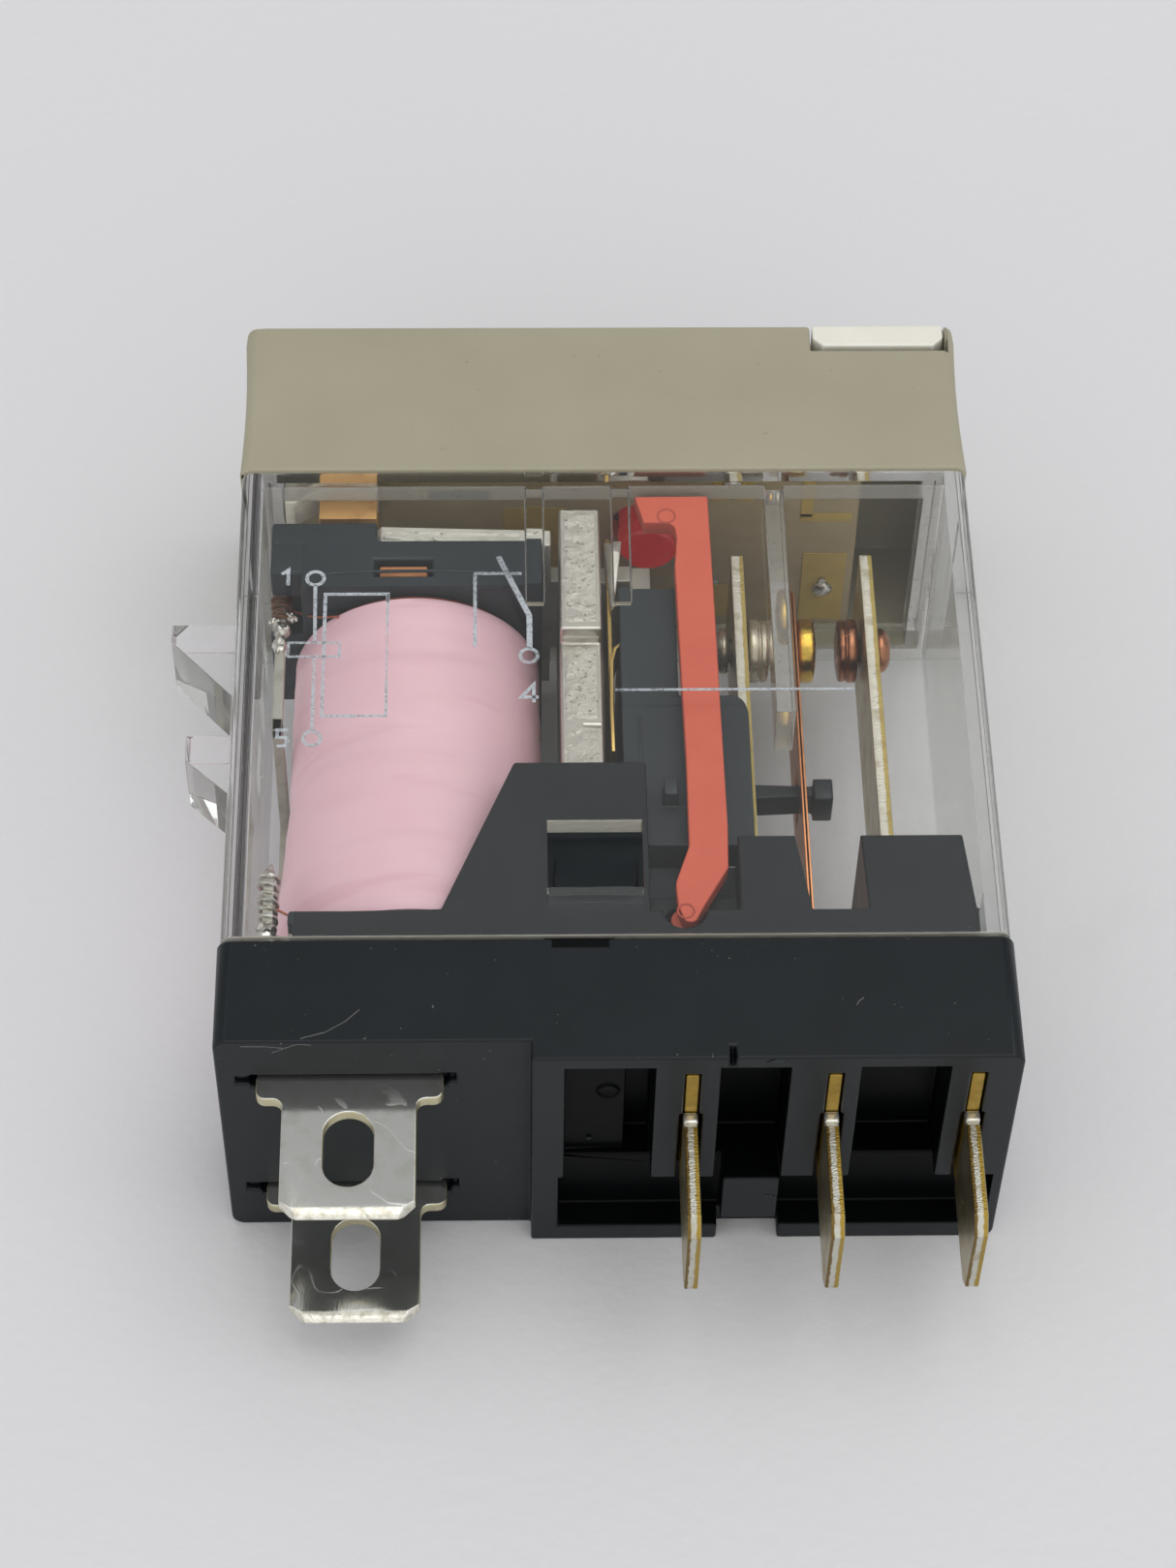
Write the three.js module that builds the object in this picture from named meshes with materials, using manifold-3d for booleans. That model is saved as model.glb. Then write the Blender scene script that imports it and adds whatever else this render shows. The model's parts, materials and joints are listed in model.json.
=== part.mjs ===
// Plug-in relay with one changeover contact, lying on its broad side.
// Millimetres. +X points to the contact side, +Y from the terminals to the cap, +Z up.
// The sub-parts are placed from the seating face (y = 0) in one group, which is then
// shifted so that the origin is the centre of the broad side that it lies on.
import * as THREE from 'three';
import { mergeVertices } from 'three/addons/utils/BufferGeometryUtils.js';
import Module from 'manifold-3d';

const wasm = await Module();
wasm.setup();

// Overall sizes
const bodyWidth = 28.8;
const bodyThick = 12.7;
const rimDepth = 0.8; // raised frame round the contact terminals, below the seating face
const baseHeight = 4.36; // seating face to the lower edge of the case
const caseHeight = 22.24; // clear part that shows between base and cap
const capHeight = 7.8;

// Moulded walls and clearances
const caseWall = 0.8;
const caseInset = 0.1; // the case is this much narrower than the base, each side
const capWall = 0.9;
const capRoof = 2.1;
const neckHeight = 0.9; // the case's neck inside the cap
const neckWall = 0.6;
const neckLedge = 0.3;
const cornerRadius = 0.5;
const plateWall = 0.5; // base walls behind the broad sides
const seamGap = 0.15; // between stacked mouldings
const fitGap = 0.2; // between a moulding and what slides into it
const looseGap = 0.3;
const slotGap = 0.15; // round a terminal in its slot
const overrun = 1; // how far a cutting solid runs past the face that it cuts
const sink = 0.1; // how far joined solids run into each other

// Latch windows in the broad sides, and the catches behind them
const windowLow = 6.6;
const windowHigh = 9.6;
const windowWidth = 3.5;
const windowRight = 0.55; // past the card's left face
const catchWidth = 3.0;
const catchLow = 6.8;
const catchHigh = 8.9;

// Barbs on the coil side, and ribs inside the case's broad side
const barbWidth = 3.0;
const upperBarb = { top: 22.85, reach: 2.9, tip: 0.85, root: 4.2 };
const lowerBarb = { top: 17.3, reach: 2.1, tip: 1.2, root: 3.3 };
const ribHalf = 0.35;
const yokeRibBottom = 20.4;
const contactRibBottom = 15.0;
const contactRibDepth = 2.5;

// Terminals
const bladeThick = 0.5;
const bladeWidth = 4.8;
const contactReach = 5.5; // below the seating face
const coilReach = 5.7;
const tipChamfer = 0.6;
const coilPitch = 7.5; // between the two coil blades, along Z
const coilBladeShift = 2.15; // coil blades sit left of the coil's axis
const shoulderWide = 6.7;
const shoulderTop = 0.3;
const shoulderLow = 0.9;
const eyeletWidth = 1.8;
const eyeletTop = 1.45;
const eyeletLow = 4.5;
const jogLevel = 2.2; // where a contact terminal steps sideways inside the base
const ncJog = 2.7;
const noJog = 2.35;

// Magnet
const postSpace = 1.1; // room for the coil posts between case wall and winding
const coilRadius = 4.95;
const coilLength = 14.4;
const windingBore = 3.25;
const tubeRadius = 3.1;
const tubeBore = 2.5;
const coreRadius = 2.3;
const spigotRadius = 1.5;
const poleRadius = 3.4;
const poleThick = 1.0;
const flangeThick = 0.6;
const headHeight = 2.3;
const yokeThick = 1.63;
const legThick = 1.5;
const legRise = 0.24; // yoke leg above the base block
const yokeWidth = 8.0;
const yokeHeadWidth = 9.7;
const yokeStep = 19.8;
const coilToYoke = 0.67;
const earRise = 1.55; // yoke ears above the armature's underside

// Armature, card and lever
const armatureThick = 0.8;
const armatureNeck = 4.2;
const armatureReach = 8.64; // full-width part, left of the pivot
const noseReach = 9.8;
const noseWidth = 4.8;
const airGap = 0.1; // left over the pole when the armature is closed
const releaseSlope = 0.035; // open angle of the armature, radians
const springSpace = 0.7; // between yoke and card
const cardWidth = 2.2;
const cardDepth = 8.3;
const cardTop = 22.2;
const cardBottom = 9.8;
const cardShelfTop = 16.9;
const tailThick = 0.8;
const tailBottom = 20.4;
const leverThick = 0.7;
const leverPivotY = 6.09;

// Contacts
const ncFromCard = 2.65; // card's right face to the middle of the normally closed strip
const contactSpace = 2.14; // middle of that strip to the middle of the moving spring
const noSpace = 3.01; // moving spring to the middle of the normally open strip
const stripTop = 25.3;
const springThick = 0.18;
const springWidth = 4.0;
const springTop = 24.8;
const springRoot = 6.2;
const contactRadius = 1.28;
const contactY = 22.3;
const rivetRadius = 0.45;
const tailRadius = 0.9;
const tailLength = 0.6;
const contactTravelGap = 0.74; // moving contact to normally open contact, at rest
const pegY = 14.9;
const blockTop = 9.4;

// Shading ring in the pole
const ringShift = 0.45; // left of the coil's axis
const ringWidth = 1.86;
const ringBar = 0.45;
const ringThick = 0.5;
const ringRise = 0.65; // above the bobbin head's underside

// Marking plate in the cap, and the indicator board under it
const plateInset = 0.5;
const plateWidth = 5.3;
const plateThick = 1.1;
const plateHalf = 2.5; // of its recess, along Z
const lipRise = 0.1;
const boardThick = 1.0;
const boardRight = 10.4;
const ledRadius = 1.2;
const ledZ = 7.6;

// Places worked out from those sizes
const halfWidth = bodyWidth / 2;
const midZ = bodyThick / 2;
const caseHalf = halfWidth - caseInset;
const innerX = caseHalf - caseWall;
const innerFront = bodyThick - caseWall;
const innerBack = caseWall;
const plugX = innerX - fitGap;
const plugFront = innerFront - fitGap;
const plugBack = innerBack + fitGap;
const caseBottom = baseHeight + seamGap;
const caseTop = baseHeight + caseHeight;
const neckTop = caseTop + neckHeight;
const capBottom = caseTop + seamGap;
const capTop = caseTop + capHeight;
const capInnerX = halfWidth - capWall;
const plugTop = baseHeight + 1.74;
const coilX = -innerX + postSpace + coilRadius;
const yokeLeft = coilX + coilRadius + coilToYoke;
const yokeRight = yokeLeft + yokeThick;
const legBottom = baseHeight + legRise;
const legTop = legBottom + legThick;
const flangeBottom = legTop + seamGap;
const flangeTop = flangeBottom + flangeThick;
const coilBottom = flangeTop + seamGap;
const coilTop = coilBottom + coilLength;
const headBottom = coilTop + seamGap;
const headTop = headBottom + headHeight;
const poleTop = headTop + fitGap;
const armatureUnder = poleTop + airGap;
const cardLeft = yokeRight + springSpace;
const cardRight = cardLeft + cardWidth;
const tailLeft = cardLeft + 0.55;
const leverX = cardRight - 0.14;
const ncX = cardRight + ncFromCard;
const springX = ncX + contactSpace;
const noX = springX + noSpace;
const ncBladeX = ncX - ncJog;
const comBladeX = springX + springThick / 2 + bladeThick / 2 - 0.08;
const noBladeX = noX + noJog;
const coilBladeX = coilX - coilBladeShift;
const leverFront = innerFront - looseGap;
const leverBack = leverFront - leverThick;
const boardBottom = neckTop + looseGap;
const ledX = leverX - 0.7;
const headFront = midZ + coilRadius + fitGap;
const ringX = coilX - ringShift;
const ringLow = midZ - 0.75;
const ringHigh = midZ + coilRadius;
const ringBottom = headBottom + ringRise;
const plateRight = halfWidth - plateInset;
const plateLeft = plateRight - plateWidth;
const upperZ = midZ + coilPitch / 2;
const lowerZ = midZ - coilPitch / 2;
const tallPostZ = upperZ - 1.05;
const postX = [-innerX + 0.55, -innerX + 0.95];
const movingLeft = springX - 0.74;
const movingRight = springX + 1.01;
const stripHold = bladeThick / 2 + seamGap;

// Geometry helpers
function toSolid(geometry) {
  const bare = geometry.clone();
  bare.deleteAttribute('normal');
  bare.deleteAttribute('uv');
  const merged = mergeVertices(bare, 1e-5);
  const index = merged.index.array;
  const kept = [];
  for (let i = 0; i < index.length; i += 3) {
    const [a, b, c] = [index[i], index[i + 1], index[i + 2]];
    if (a !== b && b !== c && c !== a) kept.push(a, b, c); // drops what collapsed on the axis
  }
  const vertProperties = new Float32Array(merged.attributes.position.array);
  return new wasm.Manifold(new wasm.Mesh({ numProp: 3, vertProperties, triVerts: new Uint32Array(kept) }));
}

function toGeometry(solid) {
  const mesh = solid.getMesh();
  const geometry = new THREE.BufferGeometry();
  geometry.setAttribute('position', new THREE.BufferAttribute(new Float32Array(mesh.vertProperties), 3));
  geometry.setIndex(new THREE.BufferAttribute(new Uint32Array(mesh.triVerts), 1));
  geometry.computeVertexNormals();
  return geometry;
}

const join = (first, ...others) => others.reduce((all, one) => all.add(one), first);
const cut = (first, ...others) => others.reduce((left, one) => left.subtract(one), first);

function block([x0, x1], [y0, y1], [z0, z1]) {
  const box = new THREE.BoxGeometry(x1 - x0, y1 - y0, z1 - z0);
  return toSolid(box.translate((x0 + x1) / 2, (y0 + y1) / 2, (z0 + z1) / 2));
}

const aboutZ = (half) => [midZ - half, midZ + half];
const around = (centre, half) => [centre - half, centre + half];
const mirrorZ = (solid) => solid.mirror([0, 0, 1]).translate([0, 0, bodyThick]);

// Extrudes an outline: 'xy' along Z, 'yz' along X, 'xz' along Y.
function prism(shape, plane, from, to) {
  const depth = to - from;
  const geometry = new THREE.ExtrudeGeometry(shape, { depth, bevelEnabled: false, curveSegments: 5 });
  if (plane === 'xy') geometry.translate(0, 0, from);
  if (plane === 'yz') {
    const [x, y, z] = [new THREE.Vector3(0, 1, 0), new THREE.Vector3(0, 0, 1), new THREE.Vector3(1, 0, 0)];
    geometry.applyMatrix4(new THREE.Matrix4().makeBasis(x, y, z)).translate(from, 0, 0);
  }
  if (plane === 'xz') geometry.rotateX(Math.PI / 2).translate(0, to, 0);
  return toSolid(geometry);
}

function outline(points) {
  return new THREE.Shape(points.map(([a, b]) => new THREE.Vector2(a, b)));
}

function roundedOutline(half, low, high, radius) {
  const shape = new THREE.Shape();
  shape.moveTo(-half + radius, low);
  shape.lineTo(half - radius, low);
  shape.absarc(half - radius, low + radius, radius, -Math.PI / 2, 0);
  shape.absarc(half - radius, high - radius, radius, 0, Math.PI / 2);
  shape.absarc(-half + radius, high - radius, radius, Math.PI / 2, Math.PI);
  shape.absarc(-half + radius, low + radius, radius, Math.PI, Math.PI * 1.5);
  return shape;
}

// Turns a closed [radius, height] profile about an axis along Y.
function turned(profile, segments) {
  const points = [...profile, profile[0]].map(([r, h]) => new THREE.Vector2(r, h));
  return toSolid(new THREE.LatheGeometry(points, segments));
}

const rod = (radius, low, high, segments = 24) =>
  turned([[0, low], [radius, low], [radius, high], [0, high]], segments);
const alongY = (solid, x, z) => solid.translate([x, 0, z]);
const alongX = (solid, y, z) => solid.rotate([0, 0, -90]).translate([0, y, z]);

// Assembly
const relay = new THREE.Group();
relay.position.y = -(capTop - rimDepth) / 2;

function addPart(name, solid, color, roughness, metalness = 0) {
  const material = new THREE.MeshStandardMaterial({ color, roughness, metalness });
  const mesh = new THREE.Mesh(toGeometry(solid), material);
  mesh.name = name;
  relay.add(mesh);
}

// Black base: block with the seating face, plug and walls inside the case.
function pocketCuts() {
  const deep = jogLevel - slotGap - 0.4;
  const frameLeft = ncBladeX - 5.75;
  const upper = [4.4, bodyThick - 0.7];
  const lower = [1.0, 4.5];
  return [
    block([frameLeft + 1.2, ncBladeX - 1.35], [-2, 0.6], upper),
    block([ncBladeX - 2.35, ncBladeX - 1.4], [-2, deep], upper),
    block([ncBladeX + 1.0, comBladeX - 1.65], [-2, deep], upper),
    block([comBladeX + 0.9, noBladeX - 1.05], [-2, deep], upper),
    block([frameLeft + 1.0, ncBladeX + 1.35], [-2, 0.3], lower),
    block([comBladeX - 1.65, noBladeX + 1.15], [-2, 0.3], lower),
    block([ncBladeX + 1.25, comBladeX - 1.55], [-2, 0], [-1, 1.55]),
  ];
}

function terminalCuts() {
  const z = aboutZ(bladeWidth / 2 + slotGap);
  const half = bladeThick / 2 + slotGap;
  const jog = [jogLevel - slotGap, jogLevel + bladeThick + slotGap];
  const upright = [jogLevel - slotGap, blockTop + 1];
  const span = (a, b) => [Math.min(a, b) - half, Math.max(a, b) + half];
  const cuts = [
    block(around(ncBladeX, half), [-2, jogLevel + bladeThick], z),
    block(span(ncBladeX, ncX), jog, z),
    block(around(ncX, half), upright, z),
    block(around(noBladeX, half), [-2, jogLevel + bladeThick], z),
    block(span(noX, noBladeX), jog, z),
    block(around(noX, half), upright, z),
    block(around(comBladeX, half), [-2, plugTop + 1], z),
    block(around(springX, springThick / 2 + looseGap), [springRoot - 0.8, plugTop + 1], z),
  ];
  for (const blade of [midZ + coilPitch / 2, midZ - coilPitch / 2]) {
    const left = -innerX + 0.35;
    cuts.push(block([left, coilBladeX + bladeWidth / 2 + slotGap], [-1, baseHeight + 1], around(blade, half)));
    cuts.push(block(around(coilBladeX, shoulderWide / 2 + slotGap), [-1, shoulderTop + fitGap], around(blade, half)));
  }
  return cuts;
}

// Thin walls of the base behind the broad sides, each with a catch for the case's window.
function sidePlates() {
  const left = coilX - 4.29;
  const right = cardLeft + 0.8;
  const sunk = baseHeight - 0.1;
  const plate = outline([
    [left, sunk], [plugX, sunk], [plugX, plugTop], [right, plugTop], [right, 12.83], [coilX + 3.79, 12.83],
    [coilX + 1.1, plugTop + 0.1], [left, plugTop],
  ]);
  const height = caseWall - sink;
  const under = plugFront - 0.3;
  const ramp = outline([
    [catchLow, under], [catchHigh, under], [catchHigh, plugFront - sink], [catchLow, plugFront + height],
  ]);
  const catchRight = cardLeft + windowRight - (windowWidth - catchWidth) / 2;
  const hook = prism(ramp, 'yz', catchRight - catchWidth, catchRight);
  return join(
    prism(plate, 'xy', plugFront - plateWall, plugFront), hook,
    prism(plate, 'xy', plugBack, plugBack + plateWall), mirrorZ(hook),
  );
}

function makeBase() {
  const whole = prism(roundedOutline(halfWidth, 0, bodyThick, cornerRadius), 'xz', -rimDepth, baseHeight);
  const coilSide = block([-halfWidth - 1, ncBladeX - 5.75], [-rimDepth - 1, 0], [-1, bodyThick + 1]);
  const plug = block([cardLeft + 0.8, plugX], [baseHeight - 0.1, plugTop], [plugBack, plugFront]);
  const leverSeat = block([cardLeft + 0.8, ncX - 0.7], [plugTop - 0.1, plugTop + 1.3],
    [plugBack + 0.2, leverBack - looseGap]);
  const ncBlock = outline([
    [ncX - 0.75, plugTop - 0.1], [springX - 0.25, plugTop - 0.1], [springX - 0.75, blockTop], [ncX - 0.75, blockTop],
  ]);
  const noBlock = outline([
    [noX - 1.2, plugTop - 0.1], [plugX - 0.05, plugTop - 0.1], [plugX - 0.35, blockTop], [noX - 1.35, blockTop],
  ]);
  const walls = sidePlates();
  const blocks = [ncBlock, noBlock].map((shape) => prism(shape, 'xy', plugBack, plugFront));
  const pivotHole = rod(0.8, -5, 5).rotate([90, 0, 0]).translate([leverX, leverPivotY, leverBack]);
  const pryNotch = block([cardLeft - 2.8, cardLeft - 0.8], [baseHeight - 0.35, baseHeight + 0.05],
    [bodyThick - 0.5, bodyThick + 1]);
  const solid = join(cut(whole, coilSide), plug, walls, leverSeat, ...blocks);
  return cut(solid, ...pocketCuts(), ...terminalCuts(), pivotHole, pryNotch);
}

// Clear case: open at both ends, latch windows, side barbs and inner ribs.
function barb({ top, reach, tip, root }) {
  const wall = -caseHalf + sink;
  const points = [[wall, top - root], [-caseHalf - reach, top - tip], [-caseHalf - reach, top], [wall, top]];
  return prism(outline(points), 'xy', midZ - barbWidth / 2, midZ + barbWidth / 2);
}

function makeCase() {
  const shell = prism(roundedOutline(caseHalf, 0, bodyThick, cornerRadius), 'xz', caseBottom, caseTop);
  const neckX = capInnerX - fitGap;
  const neckZ = [capWall + fitGap, bodyThick - capWall - fitGap];
  const neck = block([-neckX, neckX], [caseTop - neckLedge, neckTop], neckZ);
  const hollow = block([-innerX, innerX], [caseBottom - overrun, caseTop - neckLedge], [innerBack, innerFront]);
  const throatX = [-neckX + neckWall, neckX - neckWall];
  const throat = block(throatX, [caseTop - overrun, neckTop + overrun], [neckZ[0] + neckWall, neckZ[1] - neckWall]);
  const windowX = [cardLeft + windowRight - windowWidth, cardLeft + windowRight];
  const windowHole = block(windowX, [windowLow, windowHigh], [-overrun, bodyThick + overrun]);
  const rib = (x, low, back) => block(around(x, ribHalf), [low, caseTop - sink], [back, innerFront + sink]);
  const yokeRib = (x) => rib(x, yokeRibBottom, headFront + sink);
  return join(
    cut(join(shell, neck), hollow, throat, windowHole),
    yokeRib(yokeLeft - 0.95), yokeRib(yokeRight + 0.8),
    rib(springX + 0.15, contactRibBottom, innerFront - contactRibDepth),
    barb(upperBarb), barb(lowerBarb),
  );
}

// Cap with a recess for the marking plate and a hole for the lamp window.
function makeCap() {
  const shell = prism(roundedOutline(halfWidth, 0, bodyThick, cornerRadius), 'xz', capBottom, capTop);
  const lipZ = [cornerRadius, bodyThick - cornerRadius];
  const lip = block([plateRight + fitGap / 2, halfWidth], [capTop - fitGap, capTop + lipRise], lipZ);
  const wallZ = [capWall, bodyThick - capWall];
  const cavity = block([-capInnerX, capInnerX], [capBottom - overrun, capTop - capRoof], wallZ);
  const recessX = [plateLeft - fitGap / 2, plateRight + fitGap / 2];
  const recessFloor = capTop - plateThick - fitGap;
  const recess = block(recessX, [recessFloor, capTop + overrun], [midZ - plateHalf, bodyThick + overrun]);
  const lampHole = alongY(rod(ledRadius + 0.3, capTop - capRoof - overrun, capTop + overrun), ledX, ledZ);
  return cut(join(shell, lip), cavity, recess, lampHole);
}

function makePlate() {
  return block([plateLeft, plateRight], [capTop - plateThick, capTop], [midZ - plateHalf + fitGap, bodyThick]);
}

function makeLampWindow() {
  return alongY(rod(ledRadius + 0.1, capTop - capRoof + 0.3, capTop), ledX, ledZ);
}

// Magnet parts
function ringSlot() {
  const height = [ringBottom - fitGap, ringBottom + ringThick + fitGap];
  return block(around(ringX, ringWidth / 2 + fitGap), height, [ringLow - fitGap, bodyThick]);
}

function makeBobbin() {
  const left = -innerX + 0.3;
  const right = coilX + coilRadius;
  const headBack = bodyThick - headFront;
  const headSlab = outline([
    [left, midZ - 2.1], [left, midZ + 2.05], [left + 1.3, midZ + 2.05], [left + 1.3, headFront],
    [right, headFront], [right, headBack], [left + 1.3, headBack], [left + 1.3, midZ - 2.1],
  ]);
  const solid = join(
    alongY(rod(tubeRadius, flangeBottom, headBottom + 0.1, 32), coilX, midZ),
    block([coilX - coilRadius + 0.4, right], [flangeBottom, flangeTop], aboutZ(4.3)),
    prism(headSlab, 'xz', headBottom, headTop),
  );
  const poleSeat = headTop - poleThick + 0.05 + fitGap;
  return cut(
    solid,
    alongY(rod(tubeBore, flangeBottom - 1, headTop + 1, 32), coilX, midZ),
    alongY(rod(poleRadius + fitGap, poleSeat - 0.35, headTop + 1, 32), coilX, midZ),
    ringSlot(),
  );
}

function makeCoil() {
  const profile = [[windingBore, coilBottom], [coilRadius, coilBottom], [coilRadius, coilTop], [windingBore, coilTop]];
  return alongY(turned(profile, 48), coilX, midZ);
}

function makeRing() {
  const half = ringWidth / 2;
  const eye = [ringLow + ringBar, ringHigh - ringBar];
  const outer = block(around(ringX, half), [ringBottom, ringBottom + ringThick], [ringLow, ringHigh]);
  return cut(outer, block(around(ringX, half - ringBar), around(ringBottom, overrun), eye));
}

function makeCore() {
  const poleUnder = poleTop - poleThick;
  const profile = [
    [0, legBottom + 0.1], [spigotRadius, legBottom + 0.1], [spigotRadius, flangeBottom],
    [coreRadius, flangeBottom], [coreRadius, poleUnder], [poleRadius, poleUnder], [poleRadius, poleTop], [0, poleTop],
  ];
  return cut(alongY(turned(profile, 32), coilX, midZ), ringSlot());
}

function makeYoke() {
  const leg = block([coilX - coilRadius + 0.4, yokeRight], [legBottom, legTop], aboutZ(yokeWidth / 2));
  const upright = block([yokeLeft, yokeRight], [legBottom, yokeStep], aboutZ(yokeWidth / 2));
  const head = block([yokeLeft, yokeRight], [yokeStep - 0.2, armatureUnder + earRise], aboutZ(yokeHeadWidth / 2));
  const saddle = block([yokeLeft - 1, yokeRight + 1], [armatureUnder - fitGap, armatureUnder + earRise + 1],
    aboutZ(armatureNeck / 2 + looseGap));
  const spigot = alongY(rod(spigotRadius + 0.1, legBottom - 1, legTop + 1), coilX, midZ);
  return cut(join(leg, upright, head), saddle, spigot);
}

// Forked leaf between yoke and card, with its two fingers beside the armature's neck.
function makeHingeSpring() {
  const finger = armatureNeck / 2 + 0.35;
  const side = finger + 0.7;
  const top = armatureUnder + 1.4;
  const fork = armatureUnder - 0.45;
  const leaf = outline([
    [14.5, midZ - side], [top, midZ - side], [top, midZ - finger], [fork, midZ - finger],
    [fork, midZ + finger], [top, midZ + finger], [top, midZ + side], [14.5, midZ + side],
  ]);
  return prism(leaf, 'yz', yokeRight + 0.25, yokeRight + 0.45);
}

// Armature: tapered plate over the pole, neck through the yoke ears, tail into the card.
function makeArmature() {
  const rise = (x) => armatureUnder + Math.max(0, yokeRight - x) * releaseSlope;
  const noseX = yokeRight - noseReach;
  const top = armatureThick;
  const bend = tailLeft + tailThick;
  const side = outline([
    [noseX, rise(noseX)], [yokeRight, armatureUnder], [tailLeft, armatureUnder], [tailLeft, tailBottom],
    [bend, tailBottom], [bend, armatureUnder + top], [yokeRight, armatureUnder + top], [noseX, rise(noseX) + top],
  ]);
  const wideX = yokeRight - armatureReach;
  const shoulderX = yokeLeft - looseGap;
  const [nose, wide, neck] = [noseWidth / 2, yokeHeadWidth / 2, armatureNeck / 2];
  const plan = outline([
    [noseX, midZ - nose], [wideX, midZ - wide], [shoulderX, midZ - wide], [shoulderX, midZ - neck], [bend, midZ - neck],
    [bend, midZ + neck], [shoulderX, midZ + neck], [shoulderX, midZ + wide], [wideX, midZ + wide], [noseX, midZ + nose],
  ]);
  return prism(side, 'xy', 0, bodyThick).intersect(prism(plan, 'xz', tailBottom - 1, capTop));
}

// Card: moulded on the armature's tail, drives the moving spring and the lever.
function makeCard() {
  const back = midZ - cardDepth / 2;
  const front = midZ + cardDepth / 2;
  const shelfFront = innerFront - 2.75;
  const main = block([cardLeft, cardRight], [cardBottom, cardTop], [back, front]);
  const inner = block([cardRight - 0.1, ncX - bladeThick / 2 - 0.7], [cardBottom, cardShelfTop], [back, shelfFront]);
  const shelfRight = ncX;
  const shelf = outline([
    [cardRight - 0.1, cardBottom], [shelfRight, cardBottom], [shelfRight, cardShelfTop - 0.6],
    [shelfRight - 0.3, cardShelfTop], [cardRight - 0.1, cardShelfTop],
  ]);
  const neck = block([cardRight, springX + 0.6], around(pegY, 0.4), aboutZ(0.6));
  const head = block([springX + 0.5, springX + 1.25], around(pegY, 0.8), aboutZ(0.75));
  const drive = block([leverX - 0.6, leverX - 0.06], [11.6, 12.4], [front - 0.1, leverBack + 0.4]);
  const slot = block([tailLeft - fitGap, tailLeft + tailThick + fitGap], [tailBottom - fitGap, cardTop + 1],
    aboutZ(armatureNeck / 2 + fitGap));
  return cut(join(main, inner, prism(shelf, 'xy', shelfFront - 0.1, front), neck, head, drive), slot);
}

// Orange lever, seen through the broad side; pivots on a pin in the base.
function makeLever() {
  const at = (x, y) => [leverX + x, leverPivotY + y];
  const blade = outline([
    at(-1.39, 19.89), at(-1.04, 18.53), at(-0.05, 18.52), at(0.16, 18.35), at(0.23, 17.68), at(0.11, 16.3),
    at(0.17, 11.01), at(0.26, 6.85), at(0.24, 2.91), at(-0.31, 1.25), at(-0.24, 0.21), at(-0.01, -0.48),
    at(0.38, -0.48), at(0.72, 0.21), at(1.67, 1.93), at(1.71, 3.69), at(1.66, 8.21), at(1.61, 13.86), at(1.53, 19.91),
  ]);
  const pin = rod(0.5, 0, 1.2).rotate([90, 0, 0]).translate([leverX, leverPivotY, leverBack - 1.1]);
  return join(prism(blade, 'xy', leverBack, leverFront), pin);
}

// Contact terminals: blade, sideways step inside the base, and a strip up to the contact.
const bladeOutline = (top) => outline([
  [-contactReach, midZ - bladeWidth / 2 + tipChamfer], [-contactReach + tipChamfer, midZ - bladeWidth / 2],
  [top, midZ - bladeWidth / 2], [top, midZ + bladeWidth / 2],
  [-contactReach + tipChamfer, midZ + bladeWidth / 2], [-contactReach, midZ + bladeWidth / 2 - tipChamfer],
]);

function steppedTerminal(bladeX, stripX) {
  const half = bladeThick / 2;
  const z = [0, bodyThick];
  const ends = [Math.min(bladeX, stripX) - half, Math.max(bladeX, stripX) + half];
  const path = join(
    block(around(bladeX, half), [-contactReach, jogLevel + bladeThick], z),
    block(ends, [jogLevel, jogLevel + bladeThick], z),
    block(around(stripX, half), [jogLevel, stripTop], z),
  );
  const hole = alongX(rod(rivetRadius + 0.2, stripX - 1, stripX + 1), contactY, midZ);
  return cut(path.intersect(prism(bladeOutline(stripTop), 'yz', ends[0] - 1, ends[1] + 1)), hole);
}

function makeNcTerminal() {
  const pegWindow = block(around(ncX, 1), [pegY - 1.0, pegY + 1.4], aboutZ(1.15));
  return cut(steppedTerminal(ncBladeX, ncX), pegWindow);
}

function makeComTerminal() {
  return prism(bladeOutline(plugTop - fitGap), 'yz', comBladeX - bladeThick / 2, comBladeX + bladeThick / 2);
}

// A rivet contact along X, from its sections in rising order: [radius, end], after a start.
function rivetContact(start, ...sections) {
  const profile = [[0, start]];
  let low = start;
  for (const [radius, high] of sections) {
    profile.push([radius, low], [radius, high]);
    low = high;
  }
  return alongX(turned([...profile, [0, low]], 20), contactY, midZ);
}

function makeMovingContact() {
  const hold = springThick / 2 + seamGap;
  return rivetContact(movingLeft, [contactRadius, springX - hold], [rivetRadius, springX + hold],
    [contactRadius, movingRight]);
}

function makeNcContact() {
  const [tail, face] = [ncX - stripHold, ncX + stripHold];
  return rivetContact(tail - tailLength, [tailRadius, tail], [rivetRadius, face], [contactRadius, movingLeft - 0.1]);
}

function makeNoContact() {
  const [face, tail] = [noX - stripHold, noX + stripHold];
  return rivetContact(movingRight + contactTravelGap, [contactRadius, face], [rivetRadius, tail],
    [tailRadius, tail + tailLength]);
}

function makeSpring() {
  const leaf = block(around(springX, springThick / 2), [springRoot, springTop], aboutZ(springWidth / 2));
  const pegHole = block(around(springX, 1), [pegY - 0.8, pegY + 1.1], aboutZ(0.9));
  const rivetHole = alongX(rod(rivetRadius + 0.2, springX - 1, springX + 1), contactY, midZ);
  return cut(leaf, pegHole, rivetHole);
}

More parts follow.
